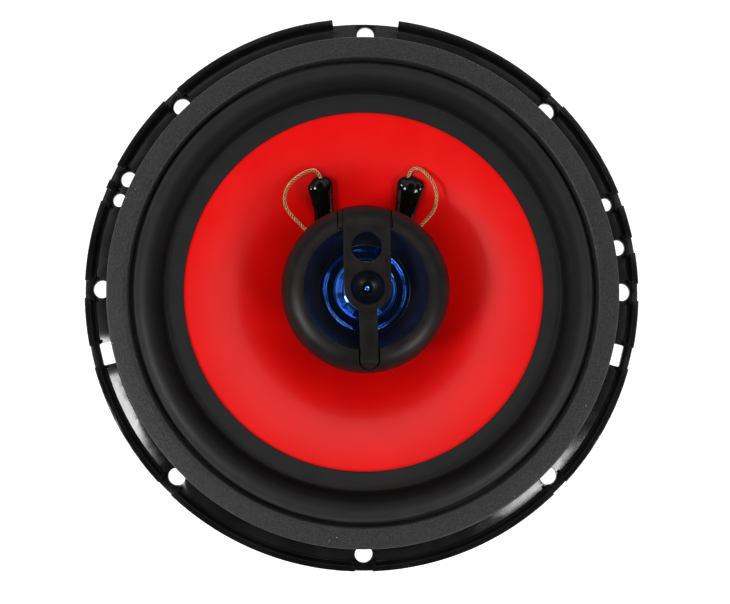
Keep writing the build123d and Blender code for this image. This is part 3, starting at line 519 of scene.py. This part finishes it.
def add_object(name, data):
    """A new object in the scene."""
    made = bpy.data.objects.new(name, data)
    bpy.context.scene.collection.objects.link(made)
    return made


def piece(name, mesh, material, slot):
    """An object of the speaker with its material. Its slot is not used."""
    made = add_object(name, mesh)
    mesh.materials.clear()
    mesh.materials.append(material)
    return made


FILLET_SHARE = 0.48              # the most of a side that the curve at one of its ends may take


def rounded(corners, steps=6):
    """An outline whose corners, each (radius, height, fillet), are turned into small curves."""
    outline = []
    for index, (radius, height, fillet) in enumerate(corners):
        corner = Vector((radius, height))
        if not fillet:
            outline.append(corner)
            continue
        back = Vector(corners[index - 1][:2]) - corner
        onward = Vector(corners[(index + 1) % len(corners)][:2]) - corner
        reach = fillet / tan(back.angle(onward) / 2)
        reach = min(reach, FILLET_SHARE * back.length, FILLET_SHARE * onward.length)
        start, end = corner + reach * back.normalized(), corner + reach * onward.normalized()
        for step in range(steps + 1):
            share = step / steps
            outline.append(start.lerp(corner, share).lerp(corner.lerp(end, share), share))
    return outline


def lathe(name, outline):
    """A mesh turned round the axis from a closed outline of (radius, height)."""
    count = len(outline)
    places = []
    for turn in range(SEGMENTS):
        places += [at(radius, 360 * turn / SEGMENTS, height) * MM for radius, height in outline]
    faces = []
    for turn in range(SEGMENTS):
        here, there = turn * count, (turn + 1) % SEGMENTS * count
        for point in range(count):
            after = (point + 1) % count
            faces.append((here + point, here + after, there + after, there + point))
    mesh = bpy.data.meshes.new(name)
    mesh.from_pydata(places, [], faces)
    skin = bmesh.new()
    skin.from_mesh(mesh)
    bmesh.ops.remove_doubles(skin, verts=skin.verts, dist=0.0005 * MM)
    skin.to_mesh(mesh)
    skin.free()
    shade(mesh)
    return mesh


def applied(made):
    """The object's mesh with its modifiers applied."""
    graph = bpy.context.evaluated_depsgraph_get()
    graph.update()
    return bpy.data.meshes.new_from_object(made.evaluated_get(graph), depsgraph=graph)


BEVEL_FROM = 30                  # degrees that a CAD edge turns by where it is sharp enough to round


def softened(node, width, material, slot):
    """A copy of a CAD node with its sharp edges rounded, which stands for the node."""
    skin = bmesh.new()
    skin.from_mesh(nodes[node].data)
    bmesh.ops.remove_doubles(skin, verts=skin.verts, dist=0.001 * MM)
    bmesh.ops.dissolve_limit(skin, angle_limit=radians(0.4), verts=skin.verts, edges=skin.edges)
    crisp = [edge for edge in skin.edges
             if edge.is_manifold and edge.calc_face_angle() > radians(BEVEL_FROM)]
    bmesh.ops.bevel(skin, geom=crisp, offset=width * MM, offset_type="OFFSET", segments=3,
                    profile=0.5, affect="EDGES", clamp_overlap=True)
    mesh = bpy.data.meshes.new(f"{node}_body")
    skin.to_mesh(mesh)
    skin.free()
    shade(mesh, 40)
    made = piece(f"{node}_body", mesh, material, slot)
    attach(made, nodes[node]["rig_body"])
    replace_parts(made, node)
    return made


def repaint(made, material, chosen):
    """Gives a second material to the faces that chosen picks by middle and normal, in millimetres."""
    made.data.materials.append(material)
    index = len(made.data.materials) - 1
    for face in made.data.polygons:
        if chosen(face.center / MM, face.normal):
            face.material_index = index


def smooth_share(value, low, high):
    """0 at low and 1 at high, with a smooth turn between."""
    share = min(max((value - low) / (high - low), 0.0), 1.0)
    return share * share * (3 - 2 * share)


def stretch_between(made, share):
    """Bakes a piece's placement into its mesh and works out by share how far each point would follow the
    moving body; the weights are not used.
    """
    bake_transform(made)
    weights = [share(vertex.co / MM) for vertex in made.data.vertices]


# ------------------------------------------------------------------ tinsel leads
STRANDS = 3                      # of tinsel, laid round a thread
STRAND_R = 0.2
STRAND_ORBIT = 0.35              # from the lead's middle to a strand's
THREAD_R = 0.34
TWIST_PITCH = 2.9                # length of one full turn of the strands
STRAND_SIDES = 8
ANCHOR_Z = 0.6                   # where the front leads enter the back of the tweeter's housing
TAG_TOP = -21.5                  # where the rear leads meet the terminals' tags
ROUTES = {                       # from the cone to the frame
    "front_lead_left": [
        (-13.3, 34.0, -1.0), (-14.3, 36.8, 0.0), (-17.6, 36.0, 0.9), (-21.4, 33.3, 1.6), (-23.8, 29.9, 2.0),
        (-24.1, 25.8, 1.9), (-22.1, 22.5, 1.4), at(26.6, 134.0, ANCHOR_Z), at(19.5, 134.0, ANCHOR_Z),
    ],
    "front_lead_right": [
        (13.2, 34.4, -1.2), (13.6, 36.8, -0.3), (16.2, 37.7, 0.3), (18.9, 35.3, 1.0), (21.1, 31.9, 1.7),
        (21.7, 28.0, 2.0), (21.0, 24.2, 1.7), at(26.6, 49.5, ANCHOR_Z), at(19.5, 49.5, ANCHOR_Z),
    ],
    "rear_lead_left": [
        (-12.4, 32.7, -7.2), (-12.4, 32.7, -11.8), (-12.5, 35.8, -16.0), (-11.4, 41.1, -17.4),
        (-10.1, 46.2, -16.2), (-8.6, 51.0, -14.9), (-7.5, 55.0, -17.2), (-7.5, 55.0, TAG_TOP),
    ],
    "rear_lead_right": [
        (12.9, 32.6, -7.2), (12.9, 32.6, -11.6), (13.1, 36.3, -15.5), (11.7, 41.4, -16.7),
        (10.2, 46.4, -15.4), (8.8, 51.3, -14.6), (7.5, 55.0, -17.0), (7.5, 55.0, TAG_TOP),
    ],
}
LEAD_GIVE = (0.06, 0.9)          # the shares of a lead's length between which its computed weights fall from the cone to the frame


def smooth_line(route):
    """Points in metres along the smooth line that a route controls."""
    curve = bpy.data.curves.new("route", "CURVE")
    curve.dimensions = "3D"
    curve.resolution_u = 18
    spline = curve.splines.new("NURBS")
    spline.points.add(len(route) - 1)
    for point, place in zip(spline.points, route):
        point.co = (*(Vector(place) * MM), 1)
    spline.order_u = 3
    spline.use_endpoint_u = True
    holder = bpy.data.objects.new("route", curve)
    mesh = bpy.data.meshes.new_from_object(holder)
    line = [vertex.co.copy() for vertex in mesh.vertices]
    bpy.data.meshes.remove(mesh)
    bpy.data.curves.remove(curve)
    return line


def side_frames(line):
    """Two directions across the line at each of its points, turning as little as possible."""
    frames = []
    across = None
    for index in range(len(line)):
        along = (line[min(index + 1, len(line) - 1)] - line[max(index - 1, 0)]).normalized()
        across = along.orthogonal() if across is None else across - across.dot(along) * along
        across.normalize()
        frames.append((across.copy(), along.cross(across)))
    return frames


def twisted(name, line):
    """Strands laid round a thread like a rope; the thread comes last."""
    frames = side_frames(line)
    places, faces = [], []
    for strand in range(STRANDS + 1):
        thickness, orbit = (STRAND_R, STRAND_ORBIT) if strand < STRANDS else (THREAD_R, 0.0)
        travelled = 0.0
        first = len(places)
        for index, (middle, (across, over)) in enumerate(zip(line, frames)):
            travelled += (middle - line[max(index - 1, 0)]).length / MM
            turn = 2 * pi * (strand / STRANDS + travelled / TWIST_PITCH)
            centre = middle + orbit * MM * (cos(turn) * across + sin(turn) * over)
            for side in range(STRAND_SIDES):
                angle = 2 * pi * side / STRAND_SIDES
                places.append(centre + thickness * MM * (cos(angle) * across + sin(angle) * over))
        for index in range(len(line) - 1):
            for side in range(STRAND_SIDES):
                row = first + index * STRAND_SIDES
                here, after = row + side, row + (side + 1) % STRAND_SIDES
                faces.append((here, after, after + STRAND_SIDES, here + STRAND_SIDES))
        faces.append(tuple(range(first, first + STRAND_SIDES)))
        faces.append(tuple(range(len(places) - STRAND_SIDES, len(places))))
    mesh = bpy.data.meshes.new(name)
    mesh.from_pydata(places, [], faces)
    shade(mesh, 60)
    return mesh


def make_lead(name):
    """One lead: a rope along its route from the cone to the frame, which stands for the CAD lead."""
    line = smooth_line(ROUTES[name])
    made = piece(f"{name}_rope", twisted(name, line), TINSEL, "tinsel")
    made.data.materials.append(THREAD)
    thread_from = len(made.data.polygons) * STRANDS // (STRANDS + 1)
    for face in made.data.polygons:
        face.material_index = int(face.index >= thread_from)
    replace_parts(made, name)
    travelled = [0.0]
    for before, after in zip(line, line[1:]):
        travelled.append(travelled[-1] + (after - before).length)

    def share(place):
        nearest = min(range(len(line)), key=lambda index: (line[index] / MM - place).length_squared)
        return 1 - smooth_share(travelled[nearest] / travelled[-1], *LEAD_GIVE)

    stretch_between(made, share)
    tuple(line[0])


for lead in ROUTES:
    make_lead(lead)

# ------------------------------------------------------------------ cone
NECK_R, CONE_RIM_R, COLLAR_Z, CONE_RIM_Z = ring("cone")
CONE_EDGE_R = ring("surround")[0]    # where the flare ends and the glued rim begins
NECK_Z = -19.4                   # where the flare meets the collar on the former
CONE_T = 0.6
CONE_BULGE = 3.4                 # how far the flare stands proud of a straight cone
CONE_BACK = (0.18, -0.66)        # from a point of its front to the back, outwards and up


def cone_front(radius):
    """Height of the cone's front face between the neck and the rim."""
    chord = hypot(CONE_EDGE_R - NECK_R, CONE_RIM_Z - NECK_Z)
    arc_r = (chord ** 2 / 4 + CONE_BULGE ** 2) / (2 * CONE_BULGE)
    drop = arc_r - CONE_BULGE
    centre_r = (NECK_R + CONE_EDGE_R) / 2 + drop * (CONE_RIM_Z - NECK_Z) / chord
    centre_z = (NECK_Z + CONE_RIM_Z) / 2 - drop * (CONE_EDGE_R - NECK_R) / chord
    return centre_z + sqrt(arc_r ** 2 - (radius - centre_r) ** 2)


def make_cone():
    """The flared cone with its collar on the former and its flat rim under the surround."""
    steps = 44
    radii = [NECK_R + (CONE_EDGE_R - NECK_R) * step / steps for step in range(steps + 1)]
    front = [(radius, cone_front(radius)) for radius in radii]
    back = [(radius + CONE_BACK[0], cone_front(radius) + CONE_BACK[1]) for radius in radii[2:-1]]
    rim = [(CONE_RIM_R, CONE_RIM_Z), (CONE_RIM_R, CONE_RIM_Z - CONE_T)]
    collar = [(NECK_R + CONE_T, NECK_Z - 0.4), (NECK_R + CONE_T, COLLAR_Z), (NECK_R, COLLAR_Z)]
    made = piece("cone_body", lathe("cone_body", front + rim + back[::-1] + collar), RED, "cone")
    repaint(made, PULP, lambda middle, normal: normal.z < -0.2 or middle.z < NECK_Z - 0.2)
    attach(made, "cone_assembly")
    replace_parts(made, "cone")


make_cone()

# ------------------------------------------------------------------ surround and gasket
ROLL_R = 63.5                    # middle radius of the half roll
ROLL_HALF = 4.75                 # half its width, and its height
ROLL_BASE = 3.2
RUBBER_T = 0.5
ROLL_FOOT = 0.7                  # height of the small curve at each foot of the roll
ROLL_FILLET = 0.55
GASKET_FALL = 0.3                # how much lower its inner edge is than its flat top
GASKET_SLOPE = 1.3               # how far out the flat top begins


def roll(half, low_in, low_out, inward=False):
    """Half a circle of the roll's section, from one foot to the other, above each foot's level."""
    steps = 56
    points = []
    for step in range(steps + 1):
        angle = pi * (1 - step / steps)
        point = (ROLL_R + half * cos(angle), ROLL_BASE + half * sin(angle), 0)
        if point[1] > (low_in if point[0] < ROLL_R else low_out):
            points.append(point)
    return points[::-1] if inward else points


def make_surround():
    """The rubber surround: glued flat, half roll, and outer flat under the gasket."""
    inner, outer, seat, _ = ring("surround")
    top_in, top_out = CONE_RIM_Z + RUBBER_T, seat + RUBBER_T
    foot_in, foot_out = ROLL_R - ROLL_HALF - 0.05, ROLL_R + ROLL_HALF + 0.05
    corners = [(inner, CONE_RIM_Z, 0), (inner, top_in, 0.2), (foot_in, top_in, ROLL_FILLET)]
    corners += roll(ROLL_HALF, top_in + ROLL_FOOT, top_out + ROLL_FOOT)
    corners += [(foot_out, top_out, ROLL_FILLET), (outer, top_out, 0.1), (outer, seat, 0)]
    corners += [(ROLL_R + ROLL_HALF - RUBBER_T, seat, 0)]
    corners += roll(ROLL_HALF - RUBBER_T, CONE_RIM_Z, seat, inward=True)
    corners += [(ROLL_R - ROLL_HALF + RUBBER_T, CONE_RIM_Z, 0)]
    made = piece("surround_skin", lathe("surround_skin", rounded(corners)), SURROUND, "surround")
    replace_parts(made, "surround")
    still, moving = ROLL_R + ROLL_HALF - 0.4, ROLL_R - ROLL_HALF
    stretch_between(made,
                    lambda place: 1 - smooth_share(hypot(place.x, place.y), moving, still))


def make_gasket():
    """The raised ring that clamps the surround, a little lower and softer at its inner edge."""
    inner, outer, low, high = ring("gasket")
    corners = [(inner, low, 0), (inner, high - GASKET_FALL, 0.75), (inner + GASKET_SLOPE, high, 0.8),
               (outer, high, 0.7), (outer, low, 0)]
    made = piece("gasket_body", lathe("gasket_body", rounded(corners, 8)), GASKET, "gasket")
    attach(made, "frame")
    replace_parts(made, "gasket")


make_surround()
make_gasket()

# ------------------------------------------------------------------ spider
SPIDER_T = 0.4
SPIDER_WAVES = 10                # half waves between the collar and the foot
SPIDER_WAVE = 1.0                # height of a wave over the foot's level
SPIDER_FOOT_R = 36.2             # where its flat foot begins
SPIDER_COLLAR = 0.8              # thickness of the collar round the former


def make_spider():
    """The corrugated cloth that centres the voice coil."""
    inner, outer, low, _ = ring("spider")
    foot = low + SPIDER_WAVE
    collar = inner + SPIDER_COLLAR
    steps = 12 * SPIDER_WAVES
    wave = []
    for step in range(steps + 1):
        share = step / steps
        lift = -SPIDER_WAVE * sin(pi * SPIDER_WAVES * share)
        wave.append((collar + (SPIDER_FOOT_R - collar) * share, foot + lift))
    outline = wave + [(outer, foot), (outer, foot + SPIDER_T)]
    outline += [(radius, height + SPIDER_T) for radius, height in wave[::-1]]
    outline += [(collar, foot + SPIDER_T + 0.9), (inner, foot + SPIDER_T + 0.9), (inner, foot - 0.7),
                (collar, foot - 0.7)]
    made = piece("spider_cloth", lathe("spider_cloth", outline), CLOTH, "spider")
    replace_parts(made, "spider")
    stretch_between(made,
                    lambda place: 1 - smooth_share(hypot(place.x, place.y), collar, SPIDER_FOOT_R))


make_spider()


# ------------------------------------------------------------------ glue and solder
SAG = 0.72                       # how much of its height a boot of glue keeps as it sets
GLUE_SUNK = 0.15                 # how far the boots reach into the cone, so that no gap shows


def lump(name, balls, body, material, slot, keep, fine=0.16):
    """A lump of set glue: balls, each (x, y, z, radius), melted into one skin.

    keep moves a point of the skin, in millimetres, to where the glue may be.
    """
    skin = bmesh.new()
    for x, y, z, radius in balls:
        bmesh.ops.create_icosphere(skin, subdivisions=3, radius=radius * MM,
                                   matrix=Matrix.Translation(Vector((x, y, z)) * MM))
    mesh = bpy.data.meshes.new(name)
    skin.to_mesh(mesh)
    skin.free()
    draft = add_object(name, mesh)
    remesh = draft.modifiers.new("melt", "REMESH")
    remesh.mode = "VOXEL"
    remesh.voxel_size = fine * MM
    relax = draft.modifiers.new("relax", "SMOOTH")
    relax.factor = 0.5
    relax.iterations = 5
    melted = applied(draft)
    bpy.data.objects.remove(draft)
    for vertex in melted.vertices:
        vertex.co = keep(vertex.co / MM) * MM
    shade(melted, 70)
    made = piece(name, melted, material, slot)
    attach(made, body)
    return made


def drawn_out(*balls, steps=9):
    """Balls along the straight lines between the given ones, their radii changing evenly."""
    chain = []
    for (start, end) in zip(balls, balls[1:]):
        for step in range(steps):
            share = step / steps
            chain.append(tuple(a + (b - a) * share for a, b in zip(start, end)))
    return chain + [balls[-1]]


def face_near(place):
    """Height of the cone's front face over or under a place."""
    return cone_front(min(max(hypot(place.x, place.y), NECK_R), CONE_EDGE_R))


def on_cone(place):
    """Keeps glue on the cone's front face, and lets it sag there."""
    face = face_near(place)
    return Vector((place.x, place.y, face + max(SAG * (place.z - face), -GLUE_SUNK)))


def under_cone(place):
    """Keeps glue on the cone's back."""
    return Vector((place.x, place.y, min(place.z, face_near(place) - CONE_T)))


def beside_cone(x, y, height, radius):
    """A ball whose middle is this far above the cone's front face."""
    return (x, y, cone_front(hypot(x, y)) + height, radius)


def make_boots():
    """The two glossy boots of glue that hold the front leads on the cone, each with lobes and a crease."""
    left = drawn_out(beside_cone(-12.3, 22.6, 0.9, 3.0), beside_cone(-12.4, 26.5, 1.0, 3.1),
                     beside_cone(-13.3, 31.8, 1.3, 3.3))
    left += drawn_out(beside_cone(-11.6, 25.0, 1.3, 2.4), beside_cone(-12.0, 32.6, 1.7, 2.3))
    left += drawn_out(beside_cone(-13.6, 26.0, 1.2, 2.0), beside_cone(-15.2, 31.3, 1.6, 2.0))
    right = drawn_out(beside_cone(12.7, 22.8, 0.9, 3.0), beside_cone(12.9, 26.5, 1.0, 3.2),
                      beside_cone(13.9, 31.8, 1.3, 3.6))
    right += drawn_out(beside_cone(11.9, 25.0, 1.2, 2.4), beside_cone(12.2, 32.8, 1.7, 2.3))
    right += drawn_out(beside_cone(13.9, 25.0, 1.2, 2.1), beside_cone(16.0, 32.0, 1.7, 2.2))
    right += drawn_out(beside_cone(13.4, 28.0, 1.6, 2.0), beside_cone(14.1, 32.9, 2.0, 1.9))
    for side, balls in (("left", left), ("right", right)):
        node = f"front_glue_{side}"
        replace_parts(lump(f"{node}_boot", balls, "cone_assembly", CEMENT, "glue", on_cone), node)


def make_rear_glue():
    """Dabs of glue where the rear leads leave the cone."""
    for side in ("left", "right"):
        lead = ROUTES[f"rear_lead_{side}"][0]
        top = cone_front(hypot(lead[0], lead[1])) - CONE_T
        balls = drawn_out((lead[0], lead[1], top, 1.75), (lead[0], lead[1], lead[2] + 1.0, 0.95), steps=4)
        node = f"rear_glue_{side}"
        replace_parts(lump(f"{node}_dab", balls, "cone_assembly", CEMENT, "glue", under_cone), node)


def make_neck_glue():
    """A bead of glue where the cone, the former and the spider meet."""
    bead_z = ring("spider")[3] + 0.6
    corners = [(NECK_R, bead_z, 0), (NECK_R + 1.5, bead_z - 0.5, 0.5), (NECK_R + 0.3, bead_z + 1.5, 0.5),
               (NECK_R, bead_z + 1.6, 0)]
    made = piece("neck_glue", lathe("neck_glue", rounded(corners)), CEMENT, "glue")
    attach(made, "cone_assembly")


def make_solder():
    """Solder where the rear leads meet the terminals' tags."""
    for side in ("left", "right"):
        x, y, z = ROUTES[f"rear_lead_{side}"][-1]
        balls = drawn_out((x, y, z + 0.5, 0.75), (x, y, z - 0.6, 1.15), (x, y, z - 1.8, 0.75), steps=4)
        lump(f"solder_{side}", balls, "frame", SOLDER, "lug", lambda place: place, fine=0.12)


make_boots()
make_rear_glue()
make_neck_glue()
make_solder()

# ------------------------------------------------------------------ middle driver's diaphragm
FOIL_T = 0.3
FOIL_CLAMP_R = 12.4              # outside this it is clamped and flat
OUTER_BEADS = ((12.0, 0.28, 0.38, 0.0), (11.4, 0.14, 0.13, -0.05))     # middle, half width, height, foot
FOIL_STEP = ((11.1, -0.2), (9.2, -0.2), (9.0, 0.6), (8.65, 1.15))      # a flat, and the step inside it
INNER_BEADS = ((8.2, 0.3, 0.22, 1.2), (7.55, 0.22, 0.28, 1.35), (6.95, 0.22, 0.26, 1.5))
DOME_R, DOME_FOOT, DOME_RISE = 6.6, 1.6, 1.6
FOIL_GIVE = (10.4, 12.9)         # the radii between which its computed weights fall from 1 to 0


def foil_beads(beads, edge):
    """The half-round crests of the given beads, from the outermost inwards."""
    return [(middle + half * cos(pi * step / 10), edge + foot + height * sin(pi * step / 10))
            for middle, half, height, foot in beads for step in range(11)]


def make_mid_diaphragm():
    """Blue foil: clamped edge, two narrow beads, flat, step, and a dome inside three more beads."""
    _, outer, low, _ = ring("mid_diaphragm")
    edge = low + FOIL_T
    face = [(outer, edge), (FOIL_CLAMP_R, edge)] + foil_beads(OUTER_BEADS, edge)
    face += [(radius, edge + height) for radius, height in FOIL_STEP] + foil_beads(INNER_BEADS, edge)
    face += [(DOME_R * (1 - step / 12), edge + DOME_FOOT + DOME_RISE * sin(pi / 2 * step / 12))
             for step in range(13)]
    back = [(radius, height - FOIL_T) for radius, height in face[::-1]]
    made = piece("mid_diaphragm_foil", lathe("mid_diaphragm_foil", face + back), FOIL, "foil")
    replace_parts(made, "mid_diaphragm")
    stretch_between(made,
                    lambda place: 1 - smooth_share(hypot(place.x, place.y), *FOIL_GIVE))
    return made


foil_diaphragm = make_mid_diaphragm()

# ------------------------------------------------------------------ pieces that keep their CAD shape
SOFTENED = {                     # CAD node: edge rounding, material and slot
    "basket": (0.14, ENAMEL, "basket"),
    "housing_bezel": (0.12, HOUSING, "housing"),
    "housing_cup": (0.25, HOUSING, "housing"),
    "bridge": (0.22, HOUSING, "housing"),
    "top_plate": (0.15, BLACK_ZINC, "plate"),
    "t_yoke": (0.15, BLACK_ZINC, "plate"),
    "magnet": (0.25, FERRITE, "magnet"),
    "terminal_board": (0.15, LAMINATE, "board"),
    "positive_lug": (0.12, TINNED, "lug"),
    "negative_lug": (0.12, TINNED, "lug"),
    "tweeter_post": (0.2, ZINC, "zinc"),
}
PLAIN = {                        # CAD nodes that are small or hidden
    "basket_rivets": ZINC, "board_rivets": ZINC, "post_screw": ZINC, "lug_eyelets": TINNED,
    "voice_coil_former": FORMER, "voice_coil_winding": COPPER, "housing_screws": ZINC,
    "mid_yoke": ZINC, "mid_magnet": FERRITE, "mid_plate": ZINC, "mid_voice_coil": COPPER,
    "crossover_capacitor": SLEEVE, "super_tweeter_horn": HORN_PAINTED_SHADE, "super_tweeter_element": BRASS,
    "super_tweeter_dome": FOIL,
}
POCKET_Z, POCKET_R = 1.0, 80.0   # the flat pockets round the holes: their level, and their least radius


def finish_cad_pieces():
    """Rounds and paints the larger CAD pieces, and paints the rest."""
    for node, (width, material, slot) in SOFTENED.items():
        made = softened(node, width, material, slot)
        if node == "basket":
            # the flat pockets take the enamel with the painted grey reflection
            repaint(made, POCKET, lambda middle, normal: normal.z > 0.95 and abs(middle.z - POCKET_Z) < 0.1
                    and hypot(middle.x, middle.y) > POCKET_R)
    for node, material in PLAIN.items():
        nodes[node].data.materials.clear()
        nodes[node].data.materials.append(material)


finish_cad_pieces()

# ------------------------------------------------------------------ floor and light
FLOOR_HALF = 2500.0              # half its side
LAMP_DISTANCE = 760.0
FILL_ELEVATION = 38
FILLS = ((0, 2.9), (90, 2.7), (180, 2.9), (270, 2.7))    # azimuth and brightness
FOIL_BRIGHTNESS = 12.0
FOIL_LAMPS = (                   # azimuth, elevation, width and height
    (50, 67, 230, 110), (300, 70, 150, 50), (160, 70, 150, 50), (230, 73, 100, 40),
)
# The sky's brightness, as (place, brightness) with the two end places first: by height, from level at 0
# to overhead at 1, and by side, from -Y at 0 to +Y at 1.
SKY_HEIGHT = ((0.0, 0.15), (1.0, 0.01), (0.6, 0.12), (0.74, 0.75), (0.88, 0.7), (0.95, 0.02))
SKY_SIDE = ((0.3, 0.12), (0.65, 1.0))


def make_floor():
    """A pale floor under the magnet, bright enough to read as white paper."""
    finish = Finish("pale_floor", Roughness=0.9, Emission_Color=(1, 1, 1), Emission_Strength=0.6)
    finish.set("Base_Color", finish.mix(finish.noise(90, 3), (0.8, 0.8, 0.8), (0.86, 0.86, 0.86)))
    mesh = bpy.data.meshes.new("floor")
    height = cad_box[0].z / MM
    corners = [Vector((x * FLOOR_HALF, y * FLOOR_HALF, height)) * MM
               for x, y in ((-1, -1), (1, -1), (1, 1), (-1, 1))]
    mesh.from_pydata(corners, [], [(0, 1, 2, 3)])
    mesh.materials.append(finish.material)
    add_object("floor", mesh)


def softbox(name, azimuth, elevation, width, height, brightness, mirrored=True, only=()):
    """A rectangular lamp turned to the speaker; brightness is its radiance against white paper's.

    A lamp that is not mirrored lights the speaker but leaves no highlight on it.  Where only names
    pieces, the lamp reaches no others.
    """
    lamp = bpy.data.lights.new(name, "AREA")
    lamp.shape = "RECTANGLE"
    lamp.size = width * MM
    lamp.size_y = height * MM
    lamp.energy = brightness * pi * lamp.size * lamp.size_y
    made = add_object(name, lamp)
    place = LAMP_DISTANCE * at(cos(radians(elevation)), azimuth, sin(radians(elevation)))
    made.location = place * MM
    made.rotation_euler = (-place).to_track_quat("-Z", "Y").to_euler()
    made.visible_camera = False
    made.visible_glossy = mirrored
    if only:
        made.light_linking.receiver_collection = bpy.data.collections.new(f"{name}_reach")
        for lit in only:
            made.light_linking.receiver_collection.objects.link(lit)


def make_sky():
    """Dim surroundings: a pale band high up that fades towards -Y, and dark straight overhead."""
    world = bpy.data.worlds.new("studio")
    bpy.context.scene.world = world
    world.use_nodes = True
    tree = world.node_tree
    direction = tree.nodes.new("ShaderNodeTexCoord").outputs["Generated"]
    split = tree.nodes.new("ShaderNodeSeparateXYZ")
    tree.links.new(direction, split.inputs[0])
    strength = tree.nodes.new("ShaderNodeMath")
    strength.operation = "MULTIPLY"
    for index, (axis, stops) in enumerate((("Z", SKY_HEIGHT), ("Y", SKY_SIDE))):
        ramp = tree.nodes.new("ShaderNodeValToRGB")
        ramp.color_ramp.interpolation = "EASE"
        for number, (place, grey) in enumerate(stops):
            stop = ramp.color_ramp.elements[number] if number < 2 else ramp.color_ramp.elements.new(place)
            stop.position = place
            stop.color = (grey, grey, grey, 1)
        if axis == "Y":
            raised = tree.nodes.new("ShaderNodeMapRange")
            raised.inputs["From Min"].default_value = -1.0
            tree.links.new(split.outputs[axis], raised.inputs["Value"])
            tree.links.new(raised.outputs[0], ramp.inputs[0])
        else:
            tree.links.new(split.outputs[axis], ramp.inputs[0])
        tree.links.new(ramp.outputs[0], strength.inputs[index])
    # To the camera, what lies past the floor's edge is as pale as the floor.
    seen = tree.nodes.new("ShaderNodeMath")
    seen.operation = "MAXIMUM"
    tree.links.new(strength.outputs[0], seen.inputs[0])
    tree.links.new(tree.nodes.new("ShaderNodeLightPath").outputs["Is Camera Ray"], seen.inputs[1])
    tree.nodes["Background"].inputs["Color"].default_value = (1, 1, 1, 1)
    tree.links.new(seen.outputs[0], tree.nodes["Background"].inputs["Strength"])


make_floor()
make_sky()
softbox("softbox_left", azimuth=204, elevation=42, width=170, height=170, brightness=22.0)
softbox("softbox_right", azimuth=-42, elevation=34, width=220, height=140, brightness=16.0)
for azimuth, brightness in FILLS:
    softbox(f"fill_{azimuth}", azimuth, FILL_ELEVATION, width=420, height=300, brightness=brightness,
            mirrored=False)
for azimuth, elevation, width, height in FOIL_LAMPS:
    softbox(f"foil_{azimuth}", azimuth, elevation, width, height, FOIL_BRIGHTNESS,
            only=(foil_diaphragm, nodes["super_tweeter_dome"]))
bpy.context.scene.view_settings.view_transform = "Standard"
